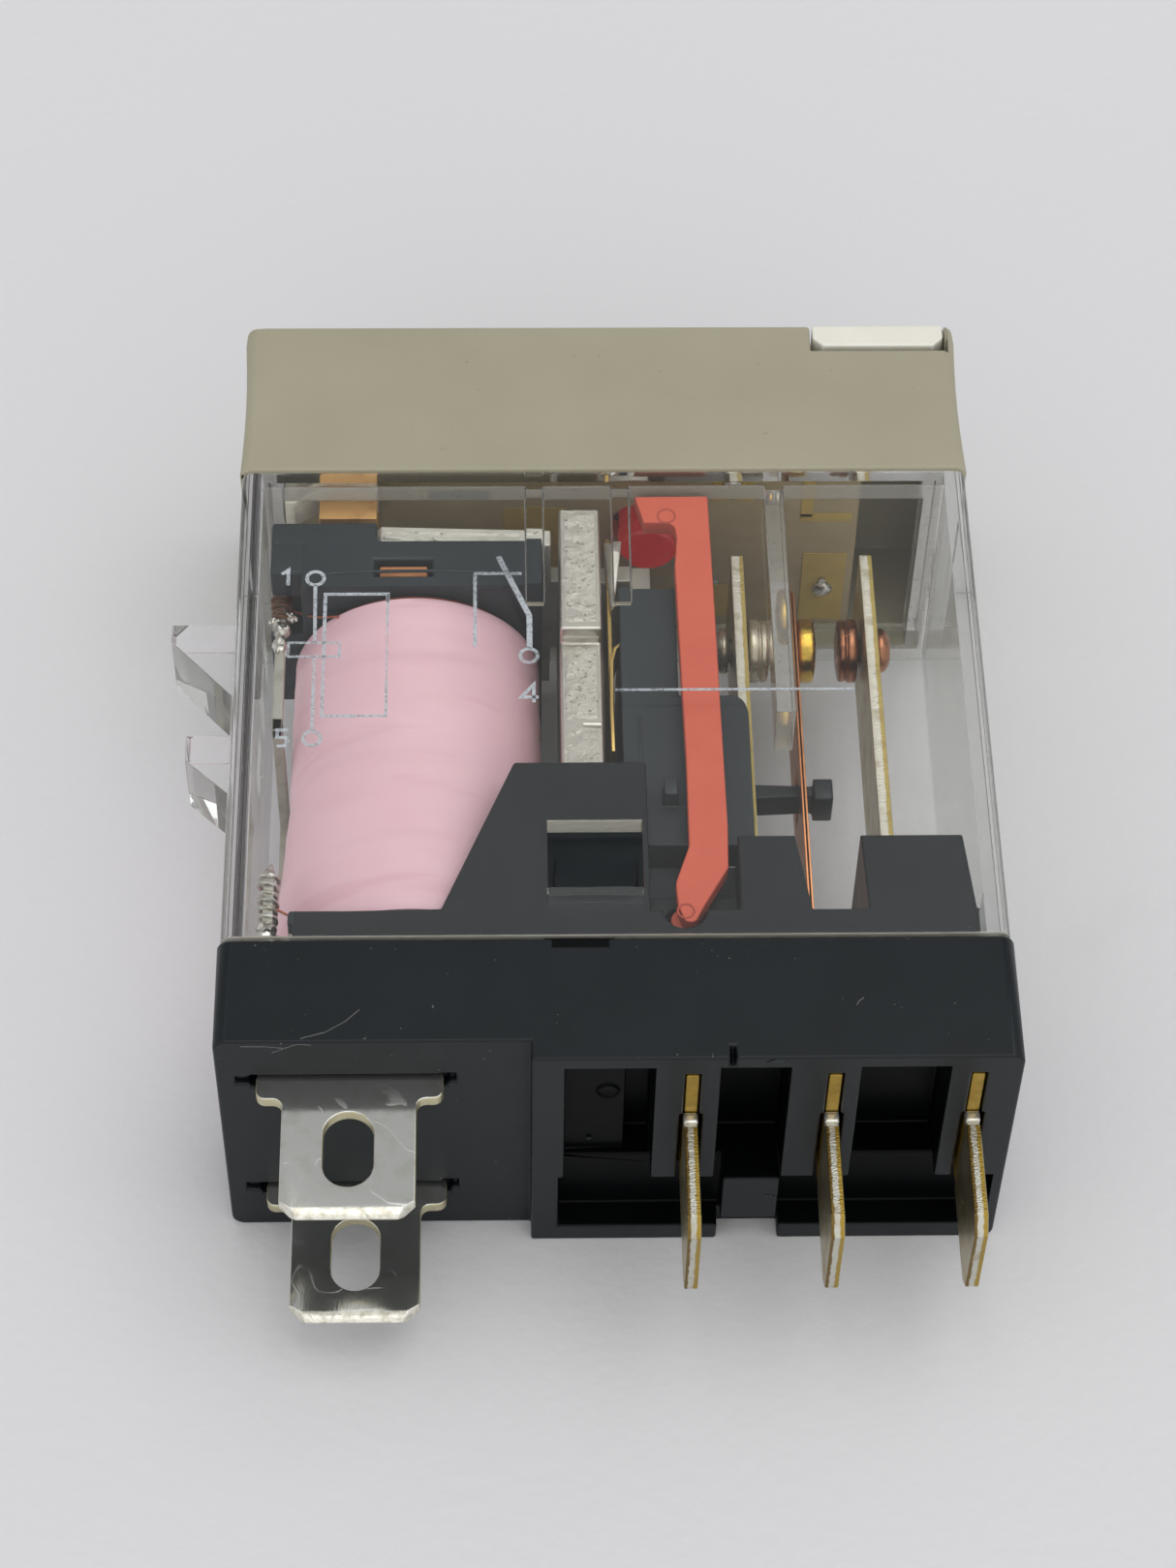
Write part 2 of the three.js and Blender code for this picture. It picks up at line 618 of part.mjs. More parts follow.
// Coil terminals: flat stampings with shoulders and an eyelet; one post on each rises beside the coil.
function coilStamping(postTop) {
  const half = bladeWidth / 2;
  const wide = shoulderWide / 2;
  const [x0, x1] = [coilBladeX - half, coilBladeX + half];
  return outline([
    [x0 + tipChamfer, -coilReach], [x1 - tipChamfer, -coilReach], [x1, -coilReach + tipChamfer], [x1, -shoulderLow],
    [coilBladeX + wide, -shoulderLow], [coilBladeX + wide, shoulderTop], [x1, shoulderTop], [x1, 3.6],
    [postX[1], 3.6], [postX[1], postTop], [postX[0], postTop], [postX[0], jogLevel], [x0, jogLevel],
    [x0, shoulderTop], [coilBladeX - wide, shoulderTop], [coilBladeX - wide, -shoulderLow], [x0, -shoulderLow],
    [x0, -coilReach + tipChamfer],
  ]);
}

function eyeletCut(z) {
  const radius = eyeletWidth / 2;
  const slot = new THREE.Shape();
  slot.absarc(coilBladeX, -eyeletTop - radius, radius, 0, Math.PI);
  slot.absarc(coilBladeX, -eyeletLow + radius, radius, Math.PI, Math.PI * 2);
  return prism(slot, 'xy', z - 1, z + 1);
}

function makeCoilTerminal(z, postTop) {
  return cut(prism(coilStamping(postTop), 'xy', z - bladeThick / 2, z + bladeThick / 2), eyeletCut(z));
}

function makeLowerCoilTerminal() {
  const crossY = [16.2, 16.8];
  const cross = block(postX, crossY, [lowerZ - bladeThick / 2, tallPostZ + 0.25]);
  const post = block(postX, [crossY[0], headTop + fitGap], [tallPostZ - 0.25, tallPostZ + 0.25]);
  return join(makeCoilTerminal(lowerZ, crossY[1]), cross, post);
}

function makeWrap(z, low, high) {
  const profile = [[0.44, low], [0.62, low], [0.62, high], [0.44, high]];
  return alongY(turned(profile, 16), (postX[0] + postX[1]) / 2, z);
}

// Indicator circuit in the cap
function makeBoard() {
  const hole = alongY(rod(ledRadius + 0.25, boardBottom - 1, boardBottom + boardThick + 1), ledX, ledZ);
  return cut(block([-capInnerX + 0.6, boardRight], [boardBottom, boardBottom + boardThick],
    [capWall + 0.4, bodyThick - capWall - 0.4]), hole);
}

function makeLed() {
  const low = boardBottom - 1.8;
  const top = capTop - capRoof - 0.4;
  const profile = [[0, low], [ledRadius, low], [ledRadius, top - 0.9], [ledRadius * 0.8, top - 0.35], [0, top]];
  return alongY(turned(profile, 20), ledX, ledZ);
}

function boardPart(x, z, radius, length) {
  const profile = [[0, x], [radius, x], [radius, x + length], [0, x + length]];
  return alongX(turned(profile, 12), boardBottom + boardThick + radius + 0.2, z);
}

// C-shaped leaf from a coil post to the board.
function makeClip() {
  const front = bodyThick - capWall - fitGap - neckWall - 0.25;
  const low = armatureUnder + 1.45;
  const top = boardBottom - fitGap;
  const side = outline([
    [low, front - 1.1], [low, front], [top, front], [top, front - 1.9],
    [top - 0.2, front - 1.9], [top - 0.2, front - 0.2], [low + 0.2, front - 0.2], [low + 0.2, front - 1.1],
  ]);
  return prism(side, 'yz', coilX - 3.85, coilX - 1.55);
}

addPart('base', makeBase(), 0x2a2f32, 0.55);
addPart('clear_case', makeCase(), 0xdfe3e2, 0.1);
addPart('top_cap', makeCap(), 0xa5a08a, 0.5);
addPart('marking_plate', makePlate(), 0xe8e6da, 0.45);
addPart('lamp_window', makeLampWindow(), 0xd8dcda, 0.15);
addPart('bobbin', makeBobbin(), 0x1f2325, 0.5);
addPart('coil_winding', makeCoil(), 0xd9b3ba, 0.6);
addPart('shading_ring', makeRing(), 0xc88c5a, 0.35, 0.9);
addPart('core', makeCore(), 0xb4b0a8, 0.4, 0.9);
addPart('yoke', makeYoke(), 0xb9b4aa, 0.45, 0.8);
addPart('hinge_spring', makeHingeSpring(), 0xc2a566, 0.3, 0.9);
addPart('armature', makeArmature(), 0xb9b4aa, 0.45, 0.8);
addPart('contact_card', makeCard(), 0x24282b, 0.5);
addPart('indicator_lever', makeLever(), 0xcd6755, 0.45);
addPart('nc_terminal', makeNcTerminal(), 0xc9c3a4, 0.35, 0.9);
addPart('nc_contact', makeNcContact(), 0xc9a86a, 0.25, 1);
addPart('no_terminal', steppedTerminal(noBladeX, noX), 0xc9c3a4, 0.35, 0.9);
addPart('no_contact', makeNoContact(), 0x9a6a4a, 0.3, 1);
addPart('com_terminal', makeComTerminal(), 0xc9c3a4, 0.35, 0.9);
addPart('moving_spring', makeSpring(), 0xc98a5c, 0.3, 1);
addPart('moving_contact', makeMovingContact(), 0xd6b24a, 0.25, 1);
addPart('coil_terminal_upper', makeCoilTerminal(upperZ, 10.2), 0xc4c3bd, 0.3, 0.95);
addPart('coil_terminal_lower', makeLowerCoilTerminal(), 0xc4c3bd, 0.3, 0.95);
addPart('lead_wrap_lower', makeWrap(upperZ, 7.4, 9.8), 0xc4c3bd, 0.4, 0.8);
addPart('lead_wrap_upper', makeWrap(tallPostZ, 21.7, 23.9), 0x8a5a32, 0.5, 0.5);
addPart('led_board', makeBoard(), 0x8c7a54, 0.6);
addPart('led', makeLed(), 0x96323c, 0.2);
addPart('led_resistor', boardPart(coilX + 1.2, 4.3, 0.7, 3.6), 0xb49a70, 0.5);
addPart('led_diode', boardPart(ncX, 4.3, 0.7, 3.2), 0x26262a, 0.4);
addPart('board_clip_front', makeClip(), 0xc99a5a, 0.3, 1);
addPart('board_clip_back', mirrorZ(makeClip()), 0xc99a5a, 0.3, 1);

export default relay;
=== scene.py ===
# Plug-in relay with one changeover contact, lying on its broad side.
# Blender 4.5. Shapes are worked out in millimetres and scaled to metres when a piece is made.
import json
import math
import bmesh
import bpy
from mathutils import Matrix, Vector, noise


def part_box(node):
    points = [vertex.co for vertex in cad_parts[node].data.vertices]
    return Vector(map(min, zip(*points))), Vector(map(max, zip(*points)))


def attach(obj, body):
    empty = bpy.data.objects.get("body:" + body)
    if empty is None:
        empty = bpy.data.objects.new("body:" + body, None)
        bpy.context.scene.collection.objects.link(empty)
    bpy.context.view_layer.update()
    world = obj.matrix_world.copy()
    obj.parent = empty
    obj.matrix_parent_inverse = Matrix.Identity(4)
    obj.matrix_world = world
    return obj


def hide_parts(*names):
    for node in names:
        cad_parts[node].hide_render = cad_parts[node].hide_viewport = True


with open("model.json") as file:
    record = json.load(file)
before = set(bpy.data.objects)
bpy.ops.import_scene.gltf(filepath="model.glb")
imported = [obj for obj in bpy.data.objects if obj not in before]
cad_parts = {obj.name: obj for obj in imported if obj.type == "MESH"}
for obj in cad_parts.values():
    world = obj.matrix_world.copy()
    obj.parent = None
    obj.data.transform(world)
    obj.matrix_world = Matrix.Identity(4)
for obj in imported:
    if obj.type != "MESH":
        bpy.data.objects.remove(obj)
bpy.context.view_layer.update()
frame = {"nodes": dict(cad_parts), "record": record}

mm = 0.001
print("frame loaded:", len(frame["nodes"]), "nodes")


def box(node):
    # a CAD node's lowest and highest corners, in millimetres
    low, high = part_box(node)
    return low / mm, high / mm


def mountPoint(name):
    mount = next(m for m in frame["record"]["mounts"] if m["name"] == name)
    return Vector(mount["pos_m"]) / mm


view = {
    "place": (-3.95, -90.11, 127.11),
    "heading": 2.06,  # degrees from +Y towards +X
    "down": 53.51,
    "roll": 1.34,
    "lens": 88.05,
}
room = {
    "floorSize": 1600,
    "floorThick": 20,
    "nearSky": 1.12,
    "farSky": 0.34,
    "lampPower": 1.0,
    "lampAt": (0.12, 0.04, 0.62),  # metres
    "lampSize": (0.5, 0.5),
}


def makeCamera():
    heading, down, roll = (math.radians(view[k]) for k in ("heading", "down", "roll"))
    forward = Vector((math.cos(down) * math.sin(heading), math.cos(down) * math.cos(heading),
                      -math.sin(down)))
    level = Vector((math.cos(heading), -math.sin(heading), 0))
    right = Matrix.Rotation(-roll, 3, forward) @ level
    upward = right.cross(forward)
    lensBody = bpy.data.cameras.new("camera")
    lensBody.lens = view["lens"]
    lensBody.sensor_width = 36
    lensBody.clip_start = 0.005
    lensBody.clip_end = 10
    camera = bpy.data.objects.new("camera", lensBody)
    camera.matrix_world = Matrix.Translation(Vector(view["place"]) * mm) @ Matrix((
        right, upward, -forward)).transposed().to_4x4()
    bpy.context.collection.objects.link(camera)
    bpy.context.scene.camera = camera


def makeLamp():
    lamp = bpy.data.lights.new("overhead", "AREA")
    lamp.shape = "RECTANGLE"
    lamp.size, lamp.size_y = room["lampSize"]
    lamp.energy = room["lampPower"]
    stand = bpy.data.objects.new("overhead", lamp)
    stand.location = room["lampAt"]
    stand.rotation_euler = (-Vector(room["lampAt"])).to_track_quat("-Z", "Y").to_euler()
    bpy.context.collection.objects.link(stand)


class Wire:
    # a node's socket that can be used in sums: each operator adds a Math node
    def __init__(self, finish, socket):
        self.finish = finish
        self.socket = socket

    def math(self, operation, *values):
        return self.finish.node("ShaderNodeMath", {"operation": operation}, dict(enumerate(values)))

    def __add__(self, other):
        return self.math("ADD", self, other)

    def __radd__(self, other):
        return self.math("ADD", other, self)

    def __sub__(self, other):
        return self.math("SUBTRACT", self, other)

    def __rsub__(self, other):
        return self.math("SUBTRACT", other, self)

    def __mul__(self, other):
        return self.math("MULTIPLY", self, other)

    def __rmul__(self, other):
        return self.math("MULTIPLY", other, self)


class Finish:
    # the nodes of a material, or of the room, while they are being laid out
    def __init__(self, owner):
        owner.use_nodes = True
        self.owner = owner
        self.tree = owner.node_tree
        self.tree.nodes.clear()

    def node(self, kind, settings=None, sockets=None, output=0):
        made = self.tree.nodes.new(kind)
        for key, value in (settings or {}).items():
            setattr(made, key, value)
        for key, value in (sockets or {}).items():
            if isinstance(value, Wire):
                self.tree.links.new(value.socket, made.inputs[key])
            else:
                made.inputs[key].default_value = value
        return Wire(self, made.outputs[output]) if made.outputs else None

    def grain(self, size, detail=2, stretch=(1, 1, 1), rough=0.5):
        # soft random value whose lumps are about this many millimetres wide
        at = self.node("ShaderNodeTexCoord", output="Object")
        scale = [1 / (size * mm * s) for s in stretch]
        placed = self.node("ShaderNodeMapping", {}, {"Vector": at, "Scale": scale})
        return self.node("ShaderNodeTexNoise", {}, {
            "Vector": placed, "Scale": 1, "Detail": detail, "Roughness": rough})

    def across(self, axis):
        # where a point lies along an axis, in millimetres
        at = self.node("ShaderNodeTexCoord", output="Object")
        return self.node("ShaderNodeSeparateXYZ", {}, {0: at}, axis) * (1 / mm)

    def eased(self, value, low, high):
        # 0 below low, 1 above high, and a smooth rise between
        return self.node("ShaderNodeMapRange", {"interpolation_type": "SMOOTHSTEP"}, {
            "Value": value, "From Min": low, "From Max": high})

    def blend(self, share, first, second):
        return self.node("ShaderNodeMix", {"data_type": "RGBA"}, {0: share, 6: first, 7: second}, 2)

    def hairlines(self, size, width, amount):
        # thin scratches: the level lines of a soft field, kept only in patches
        field = self.grain(size, 1)
        offLevel = self.node("ShaderNodeMath", {"operation": "ABSOLUTE"}, {0: field - 0.5})
        line = 1 - self.eased(offLevel, 0, width)
        patch = self.eased(self.grain(size * 0.9, 0), 1 - amount, 1 - amount + 0.08)
        return line * patch

    def skin(self, sockets, height=None, depth=0.01):
        if height is not None:
            normal = self.node("ShaderNodeBump", {},
                               {"Strength": 1, "Distance": depth * mm, "Height": height})
            sockets = {**sockets, "Normal": normal}
        return self.node("ShaderNodeBsdfPrincipled", {}, sockets)

    def done(self, shader, end="ShaderNodeOutputMaterial"):
        self.node(end, {}, {"Surface": shader})
        return self.owner


def newFinish(name):
    return Finish(bpy.data.materials.new(name))


def makeSky():
    # an even room whose far side is dimmer than the side that the camera stands on
    bpy.context.scene.world = bpy.data.worlds.new("softRoom")
    f = Finish(bpy.context.scene.world)
    towards = f.node("ShaderNodeTexCoord")
    depth = f.node("ShaderNodeSeparateXYZ", {}, {0: towards}, 1)
    strength = f.node("ShaderNodeMapRange", {}, {
        "Value": depth, "From Min": -1, "To Min": room["nearSky"], "To Max": room["farSky"]})
    sky = f.node("ShaderNodeBackground", {}, {"Color": (1, 1, 1, 1), "Strength": strength})
    f.done(sky, "ShaderNodeOutputWorld")


makeCamera()
makeLamp()
makeSky()
scene = bpy.context.scene
scene.view_settings.view_transform = "Standard"
scene.cycles.transparent_max_bounces = 24  # a line of sight crosses many clear walls
scene.cycles.transmission_bounces = 16
print("camera and lights ready")


def paint(*rgb):
    # a colour as it is seen on a screen, 0 to 255, turned into the renderer's linear values
    def linear(value):
        share = value / 255
        return share / 12.92 if share <= 0.04045 else ((share + 0.055) / 1.055) ** 2.4
    return (*[linear(value) for value in rgb], 1)


def blackMoulding(name, dark, light, dust=0.0, shine=0.3):
    f = newFinish(name)
    mottle = f.grain(3.2, 4)
    fine = f.grain(0.12, 2)
    flow = f.grain(1.2, 3, (1, 5, 1))
    colour = f.blend(mottle, dark, light)
    if dust:
        specks = f.eased(f.grain(0.18, 1), 0.78, 0.84)
        colour = f.blend(specks * dust, colour, paint(140, 142, 140))
    rough = 0.26 + mottle * 0.1 + flow * 0.1
    return f.done(f.skin({
        "Base Color": colour, "Roughness": rough, "Specular IOR Level": shine,
    }, fine * 0.5 + flow * 0.5, 0.005))


def clearMoulding(name, haze=0.0):
    f = newFinish(name)
    wave = f.grain(5, 1)
    normal = f.node("ShaderNodeBump", {}, {"Strength": 1, "Distance": 0.004 * mm, "Height": wave})
    glass = f.node("ShaderNodeBsdfGlass", {}, {
        "Color": (0.993, 0.996, 0.994, 1), "Roughness": 0.0, "IOR": 1.42, "Normal": normal})
    if haze:
        cloudy = f.skin({"Base Color": f.blend(wave, paint(188, 188, 180), paint(208, 208, 202)),
                         "Roughness": 0.5})
        glass = f.node("ShaderNodeMixShader", {}, {0: haze, 1: glass, 2: cloudy})
    passing = f.node("ShaderNodeBsdfTransparent", {}, {"Color": (0.988, 0.99, 0.988, 1)})
    shadow = f.node("ShaderNodeLightPath", output="Is Shadow Ray")
    diffuse = f.node("ShaderNodeLightPath", output="Is Diffuse Ray")
    share = shadow.math("MAXIMUM", shadow, diffuse)
    return f.done(f.node("ShaderNodeMixShader", {}, {0: share, 1: glass, 2: passing}))


def frostedEdge(name, dark, light, solid):
    f = newFinish(name)
    streak = f.grain(0.5, 3, (1, 1, 0.3))
    tone = f.blend(streak, dark, light)
    return f.done(f.skin({"Base Color": tone, "Roughness": 0.45 + streak * 0.2, "Alpha": solid}, streak,
                         0.02))


def beigeMoulding():
    f = newFinish("beigeMoulding")
    mottle = f.grain(4, 3)
    fine = f.grain(0.09, 2)
    specks = f.eased(f.grain(0.35, 1), 0.76, 0.82)
    tone = f.blend(mottle, paint(158, 153, 130), paint(170, 165, 143))
    tone = f.blend(specks * 0.35, tone, paint(120, 110, 88))
    return f.done(f.skin({
        "Base Color": tone, "Roughness": 0.5 + fine * 0.14, "Specular IOR Level": 0.4,
        "Subsurface Weight": 0.05, "Subsurface Radius": (0.001, 0.0008, 0.0005), "Subsurface Scale": 0.3,
    }, fine + mottle * 0.6, 0.008))


def whitePlate():
    f = newFinish("whitePlate")
    mottle = f.grain(1.4, 3)
    fine = f.grain(0.08, 2)
    tone = f.blend(mottle, paint(228, 225, 212), paint(242, 240, 230))
    return f.done(f.skin({"Base Color": tone, "Roughness": 0.38 + mottle * 0.15}, fine, 0.006))


def pinkTape():
    f = newFinish("pinkTape")
    fibres = f.grain(0.16, 3, (5, 1, 5))
    mottle = f.grain(2.6, 4, (1.6, 0.8, 1.6))
    crease = f.eased(f.grain(2.2, 3, (3, 0.5, 3)), 0.56, 0.72)
    tone = f.blend(mottle, paint(232, 184, 196), paint(241, 203, 210))
    # painted shade: the tape turns a darker pink along its creases, which also drive the bump
    tone = f.blend(crease * 0.3, tone, paint(216, 156, 174))
    rough = 0.42 + mottle * 0.16
    return f.done(f.skin({
        "Base Color": tone, "Roughness": rough, "Coat Weight": 0.12, "Coat Roughness": 0.25,
        "Subsurface Weight": 0.08, "Subsurface Radius": (0.001, 0.0006, 0.0006), "Subsurface Scale": 0.3,
    }, fibres * 0.35 + crease * 0.8, 0.014))


def metalFinish(name, colour, stain, rough, patch=1.6, brushed=(1, 1, 1), depth=0.006, stained=0.5,
                metallic=1.0,
                clouded=0.16):
    # bright metal with cloudy stains and fine drawing lines
    f = newFinish(name)
    cloud = f.grain(patch, 4)
    line = f.grain(0.09, 2, brushed)
    scratch = f.hairlines(1.6, 0.02, 0.5)
    tone = f.blend(f.eased(cloud, 0.42, 0.75) * stained, colour, stain)
    return f.done(f.skin({
        "Base Color": tone, "Metallic": metallic, "Roughness": rough + cloud * clouded + scratch * 0.12,
    }, line * 0.7 + scratch * 0.6, depth))


def shearedEdge(name, left, middle, right, centre, thick=0.5, metallic=0.75):
    # a cut edge: smooth skin on the left, bright cut in the middle, warmer torn metal on the right
    f = newFinish(name)
    torn = f.grain(0.28, 3)
    ridge = f.grain(0.12, 2, (1, 0.6, 4))
    place = f.across("X") + torn * 0.12 - 0.06
    tone = f.blend(f.eased(place, centre - thick * 0.3, centre - thick * 0.2), left, middle)
    tone = f.blend(f.eased(place, centre + thick * 0.1, centre + thick * 0.2), tone, right)
    stain = f.eased(f.grain(0.8, 2), 0.5, 0.7)
    tone = f.blend(stain * 0.4, tone, paint(140, 116, 60))
    return f.done(f.skin({
        "Base Color": tone, "Metallic": metallic, "Roughness": 0.26 + torn * 0.2,
    }, ridge + torn * 0.7, 0.03))


def tornIron(name, dark, light, metallic):
    f = newFinish(name)
    torn = f.grain(0.3, 4, (1, 1, 1), 0.7)
    pits = f.eased(f.grain(0.2, 2), 0.6, 0.72)
    tone = f.blend(torn, dark, light)
    tone = f.blend(pits * 0.4, tone, paint(140, 134, 120))
    return f.done(f.skin({
        "Base Color": tone, "Metallic": metallic, "Roughness": 0.34 + torn * 0.24}, torn + pits * -0.7, 0.06))


def leverPlastic(name, tone, deep):
    f = newFinish(name)
    mottle = f.grain(1.4, 3)
    fine = f.grain(0.1, 2)
    colour = f.blend(mottle, tone, deep)
    return f.done(f.skin({
        "Base Color": colour, "Roughness": 0.42 + mottle * 0.14,
        "Subsurface Weight": 0.1, "Subsurface Radius": (0.0012, 0.0004, 0.0003), "Subsurface Scale": 0.4,
    }, fine + mottle * 0.6, 0.012))


def varnishedWire(name, tone, deep, metallic=0.35):
    f = newFinish(name)
    mottle = f.grain(0.5, 3)
    colour = f.blend(mottle, tone, deep)
    return f.done(f.skin({
        "Base Color": colour, "Metallic": metallic, "Roughness": 0.28 + mottle * 0.25,
        "Coat Weight": 0.5, "Coat Roughness": 0.15}, mottle, 0.02))


def phenolic():
    f = newFinish("phenolic")
    weave = f.grain(0.5, 3, (3, 1, 1))
    mottle = f.grain(2.2, 3)
    tone = f.blend(mottle, paint(150, 134, 102), paint(176, 160, 128))
    tone = f.blend(weave * 0.4, tone, paint(124, 108, 76))
    return f.done(f.skin({"Base Color": tone, "Roughness": 0.45 + weave * 0.2}, weave, 0.012))


def redLensPaintedGlow():
    f = newFinish("redLensPaintedGlow")
    wave = f.grain(0.8, 1)
    tone = f.blend(wave, paint(170, 12, 18), paint(206, 34, 38))
    # painted glow: a faint red emission, so the unlit lens gives off light of its own
    return f.done(f.skin({
        "Base Color": tone, "Roughness": 0.08 + wave * 0.08, "Transmission Weight": 0.55, "IOR": 1.5,
        "Emission Color": paint(214, 30, 34), "Emission Strength": 0.12,
    }, wave, 0.01))


def bodyPaint(name, tone, deep, gloss):
    f = newFinish(name)
    mottle = f.grain(0.6, 3)
    return f.done(f.skin({
        "Base Color": f.blend(mottle, tone, deep), "Roughness": gloss + mottle * 0.15,
        "Coat Weight": 0.3, "Coat Roughness": 0.2}, mottle, 0.01))


def printInk():
    # thin print, worn through in places
    f = newFinish("printInk")
    speck = f.eased(f.grain(0.11, 2), 0.46, 0.66)
    worn = f.eased(f.grain(2.6, 3), 0.4, 0.66)
    tone = f.blend(speck * 0.5, paint(196, 203, 208), paint(140, 147, 152))
    return f.done(f.skin({
        "Base Color": tone, "Roughness": 0.55 + speck * 0.2, "Alpha": 0.88 - worn * 0.5 - speck * 0.2}, speck,
        0.004))


def paperFloor():
    f = newFinish("paperFloor")
    broad = f.grain(90, 3)
    fibre = f.grain(0.6, 3)
    smudge = f.eased(f.grain(14, 4), 0.66, 0.8)
    tone = f.blend(broad, paint(219, 219, 222), paint(226, 226, 228))
    tone = f.blend(smudge * 0.08, tone, paint(170, 170, 172))
    return f.done(f.skin({"Base Color": tone, "Roughness": 0.7 + fibre * 0.2}, fibre, 0.03))


blackBase = blackMoulding("blackBase", paint(9, 16, 20), paint(19, 27, 31), 0.4)
blackInner = blackMoulding("blackInner", paint(28, 36, 40), paint(42, 50, 54))
cardBlack = blackMoulding("cardBlack", paint(38, 44, 47), paint(54, 60, 63))
# painted shade: the deepest black, with little shine, stands for shade in the base's recesses and in the latch
# notch
paintedShadeBlack = blackMoulding("paintedShadeBlack", paint(3, 4, 5), paint(9, 12, 13), 0, 0.08)
clearCase = clearMoulding("clearCase")
clearWall = clearMoulding("clearWall", 0.14)
caseEdge = frostedEdge("caseEdge", paint(176, 173, 158), paint(214, 211, 198), 0.8)
caseHaze = frostedEdge("caseHaze", paint(176, 174, 166), paint(206, 204, 196), 0.4)
beigeCap = beigeMoulding()
plateWhite = whitePlate()
tape = pinkTape()
iron = metalFinish("iron", paint(206, 202, 192), paint(168, 162, 148), 0.26, 1.2, (1, 4, 1), 0.01, 0.6)
armatureIron = metalFinish("armatureIron", paint(214, 211, 199), paint(178, 173, 160), 0.3, 1.2, (1, 4, 1),
                           0.01, 0.6, 0.4)
ironTorn = tornIron("ironTorn", paint(170, 165, 152), paint(218, 216, 206), 0.45)
ironCut = tornIron("ironCut", paint(190, 186, 172), paint(236, 234, 222), 0.2)
copperBar = metalFinish("copperBar", paint(222, 150, 96), paint(190, 118, 74), 0.35, 0.8, metallic=0.45)
springBronze = metalFinish("springBronze", paint(214, 182, 112), paint(170, 126, 66), 0.22, 1.0, (1, 5, 1))
leafPale = metalFinish("leafPale", paint(222, 216, 200), paint(190, 182, 160), 0.3, 0.5, metallic=0.15)
steelBright = metalFinish("steelBright", paint(220, 218, 208), paint(176, 174, 162), 0.25, 0.9, metallic=0.6)
tinned = metalFinish("tinned", paint(206, 207, 203), paint(178, 176, 164), 0.05, 0.8, (1, 5, 1), 0.003, 0.5,
                     0.93, 0.14)
postTin = metalFinish("postTin", paint(186, 184, 172), paint(140, 136, 122), 0.3, 0.6, metallic=0.6)
plated = metalFinish("plated", paint(200, 190, 158), paint(168, 138, 70), 0.24, 1.5, (1, 5, 1), 0.008, 0.7)
goldRoot = metalFinish("goldRoot", paint(172, 142, 58), paint(116, 92, 34), 0.3, 0.5, metallic=0.6)
clipBronze = metalFinish("clipBronze", paint(208, 160, 98), paint(166, 118, 62), 0.3, 0.8, metallic=0.5)
# painted highlight: the brightest metal finish, put on the coil blades' tip chamfers and on small slabs at the
# contact blades' tops
paintedHighlightMetal = metalFinish("paintedHighlightMetal", paint(236, 234, 222), paint(184, 178, 158), 0.2, 0.3, (5, 1, 1), 0.015,
                        0.8, 0.8)
contactGold = metalFinish("contactGold", paint(222, 184, 78), paint(150, 120, 60), 0.16, 0.4)
contactPale = metalFinish("contactPale", paint(214, 206, 186), paint(180, 164, 128), 0.18, 0.5, metallic=0.7)
contactDark = metalFinish("contactDark", paint(176, 120, 88), paint(92, 56, 40), 0.17, 0.45, (1, 1, 1), 0.006,
                          0.9)
springCopper = metalFinish("springCopper", paint(216, 146, 98), paint(170, 104, 66), 0.24, 0.8)
solderBright = metalFinish("solderBright", paint(214, 212, 204), paint(132, 126, 112), 0.2, 0.3, (1, 1, 1),
                           0.03, 0.8)
leverOrange = leverPlastic("leverOrange", paint(215, 98, 72), paint(204, 90, 66))
# painted shade and real marks: a darker copy of the lever's orange, for its shaded sides and for its moulding
# marks
leverShadeAndMarks = leverPlastic("leverShadeAndMarks", paint(168, 66, 50), paint(190, 84, 64))
wireBrown = varnishedWire("wireBrown", paint(120, 74, 36), paint(70, 42, 22))
wireCopper = varnishedWire("wireCopper", paint(176, 92, 62), paint(128, 58, 42), 0.7)
boardBrown = phenolic()
trackOlive = bodyPaint("trackOlive", paint(184, 158, 76), paint(160, 134, 66), 0.35)
lensRed = redLensPaintedGlow()
resistorPaint = bodyPaint("resistorPaint", paint(196, 164, 118), paint(168, 136, 92), 0.35)
diodePaint = bodyPaint("diodePaint", paint(40, 40, 44), paint(26, 26, 30), 0.3)
bandPaint = bodyPaint("bandPaint", paint(150, 60, 40), paint(120, 44, 34), 0.35)
lampClear = bodyPaint("lampClear", paint(196, 200, 196), paint(214, 218, 214), 0.12)
ink = printInk()
scuffGrey = frostedEdge("scuffGrey", paint(96, 98, 98), paint(150, 152, 150), 0.55)
print("finishes ready:", len(bpy.data.materials))


def fromCad(node):
    # a CAD node's own shape with its flat faces made whole, ready for more detail
    shape = bmesh.new()
    shape.from_mesh(frame["nodes"][node].data)
    bmesh.ops.transform(shape, matrix=Matrix.Scale(1 / mm, 4), verts=shape.verts)
    bmesh.ops.remove_doubles(shape, verts=shape.verts, dist=0.002)
    flatten(shape)
    return shape


def flatten(shape):
    bmesh.ops.dissolve_limit(
        shape, angle_limit=math.radians(0.6), use_dissolve_boundaries=False,
        verts=shape.verts, edges=shape.edges)


def extruded(points, plane, low, high):
    # an outline in one plane, pushed out along the third axis
    place = {
        "xy": lambda a, b, c: (a, b, c),
        "yz": lambda a, b, c: (c, a, b),
    }[plane]
    shape = bmesh.new()
    foot = [shape.verts.new(place(a, b, low)) for a, b in points]
    head = [shape.verts.new(place(a, b, high)) for a, b in points]
    shape.faces.new(foot)
    shape.faces.new(head)
    for i in range(len(points)):
        j = (i + 1) % len(points)
        shape.faces.new((foot[i], foot[j], head[j], head[i]))
    bmesh.ops.recalc_face_normals(shape, faces=shape.faces)
    return shape


def slab(low, high):
    return extruded([(low[0], low[1]), (high[0], low[1]), (high[0], high[1]), (low[0], high[1])],
                    "xy", low[2], high[2])


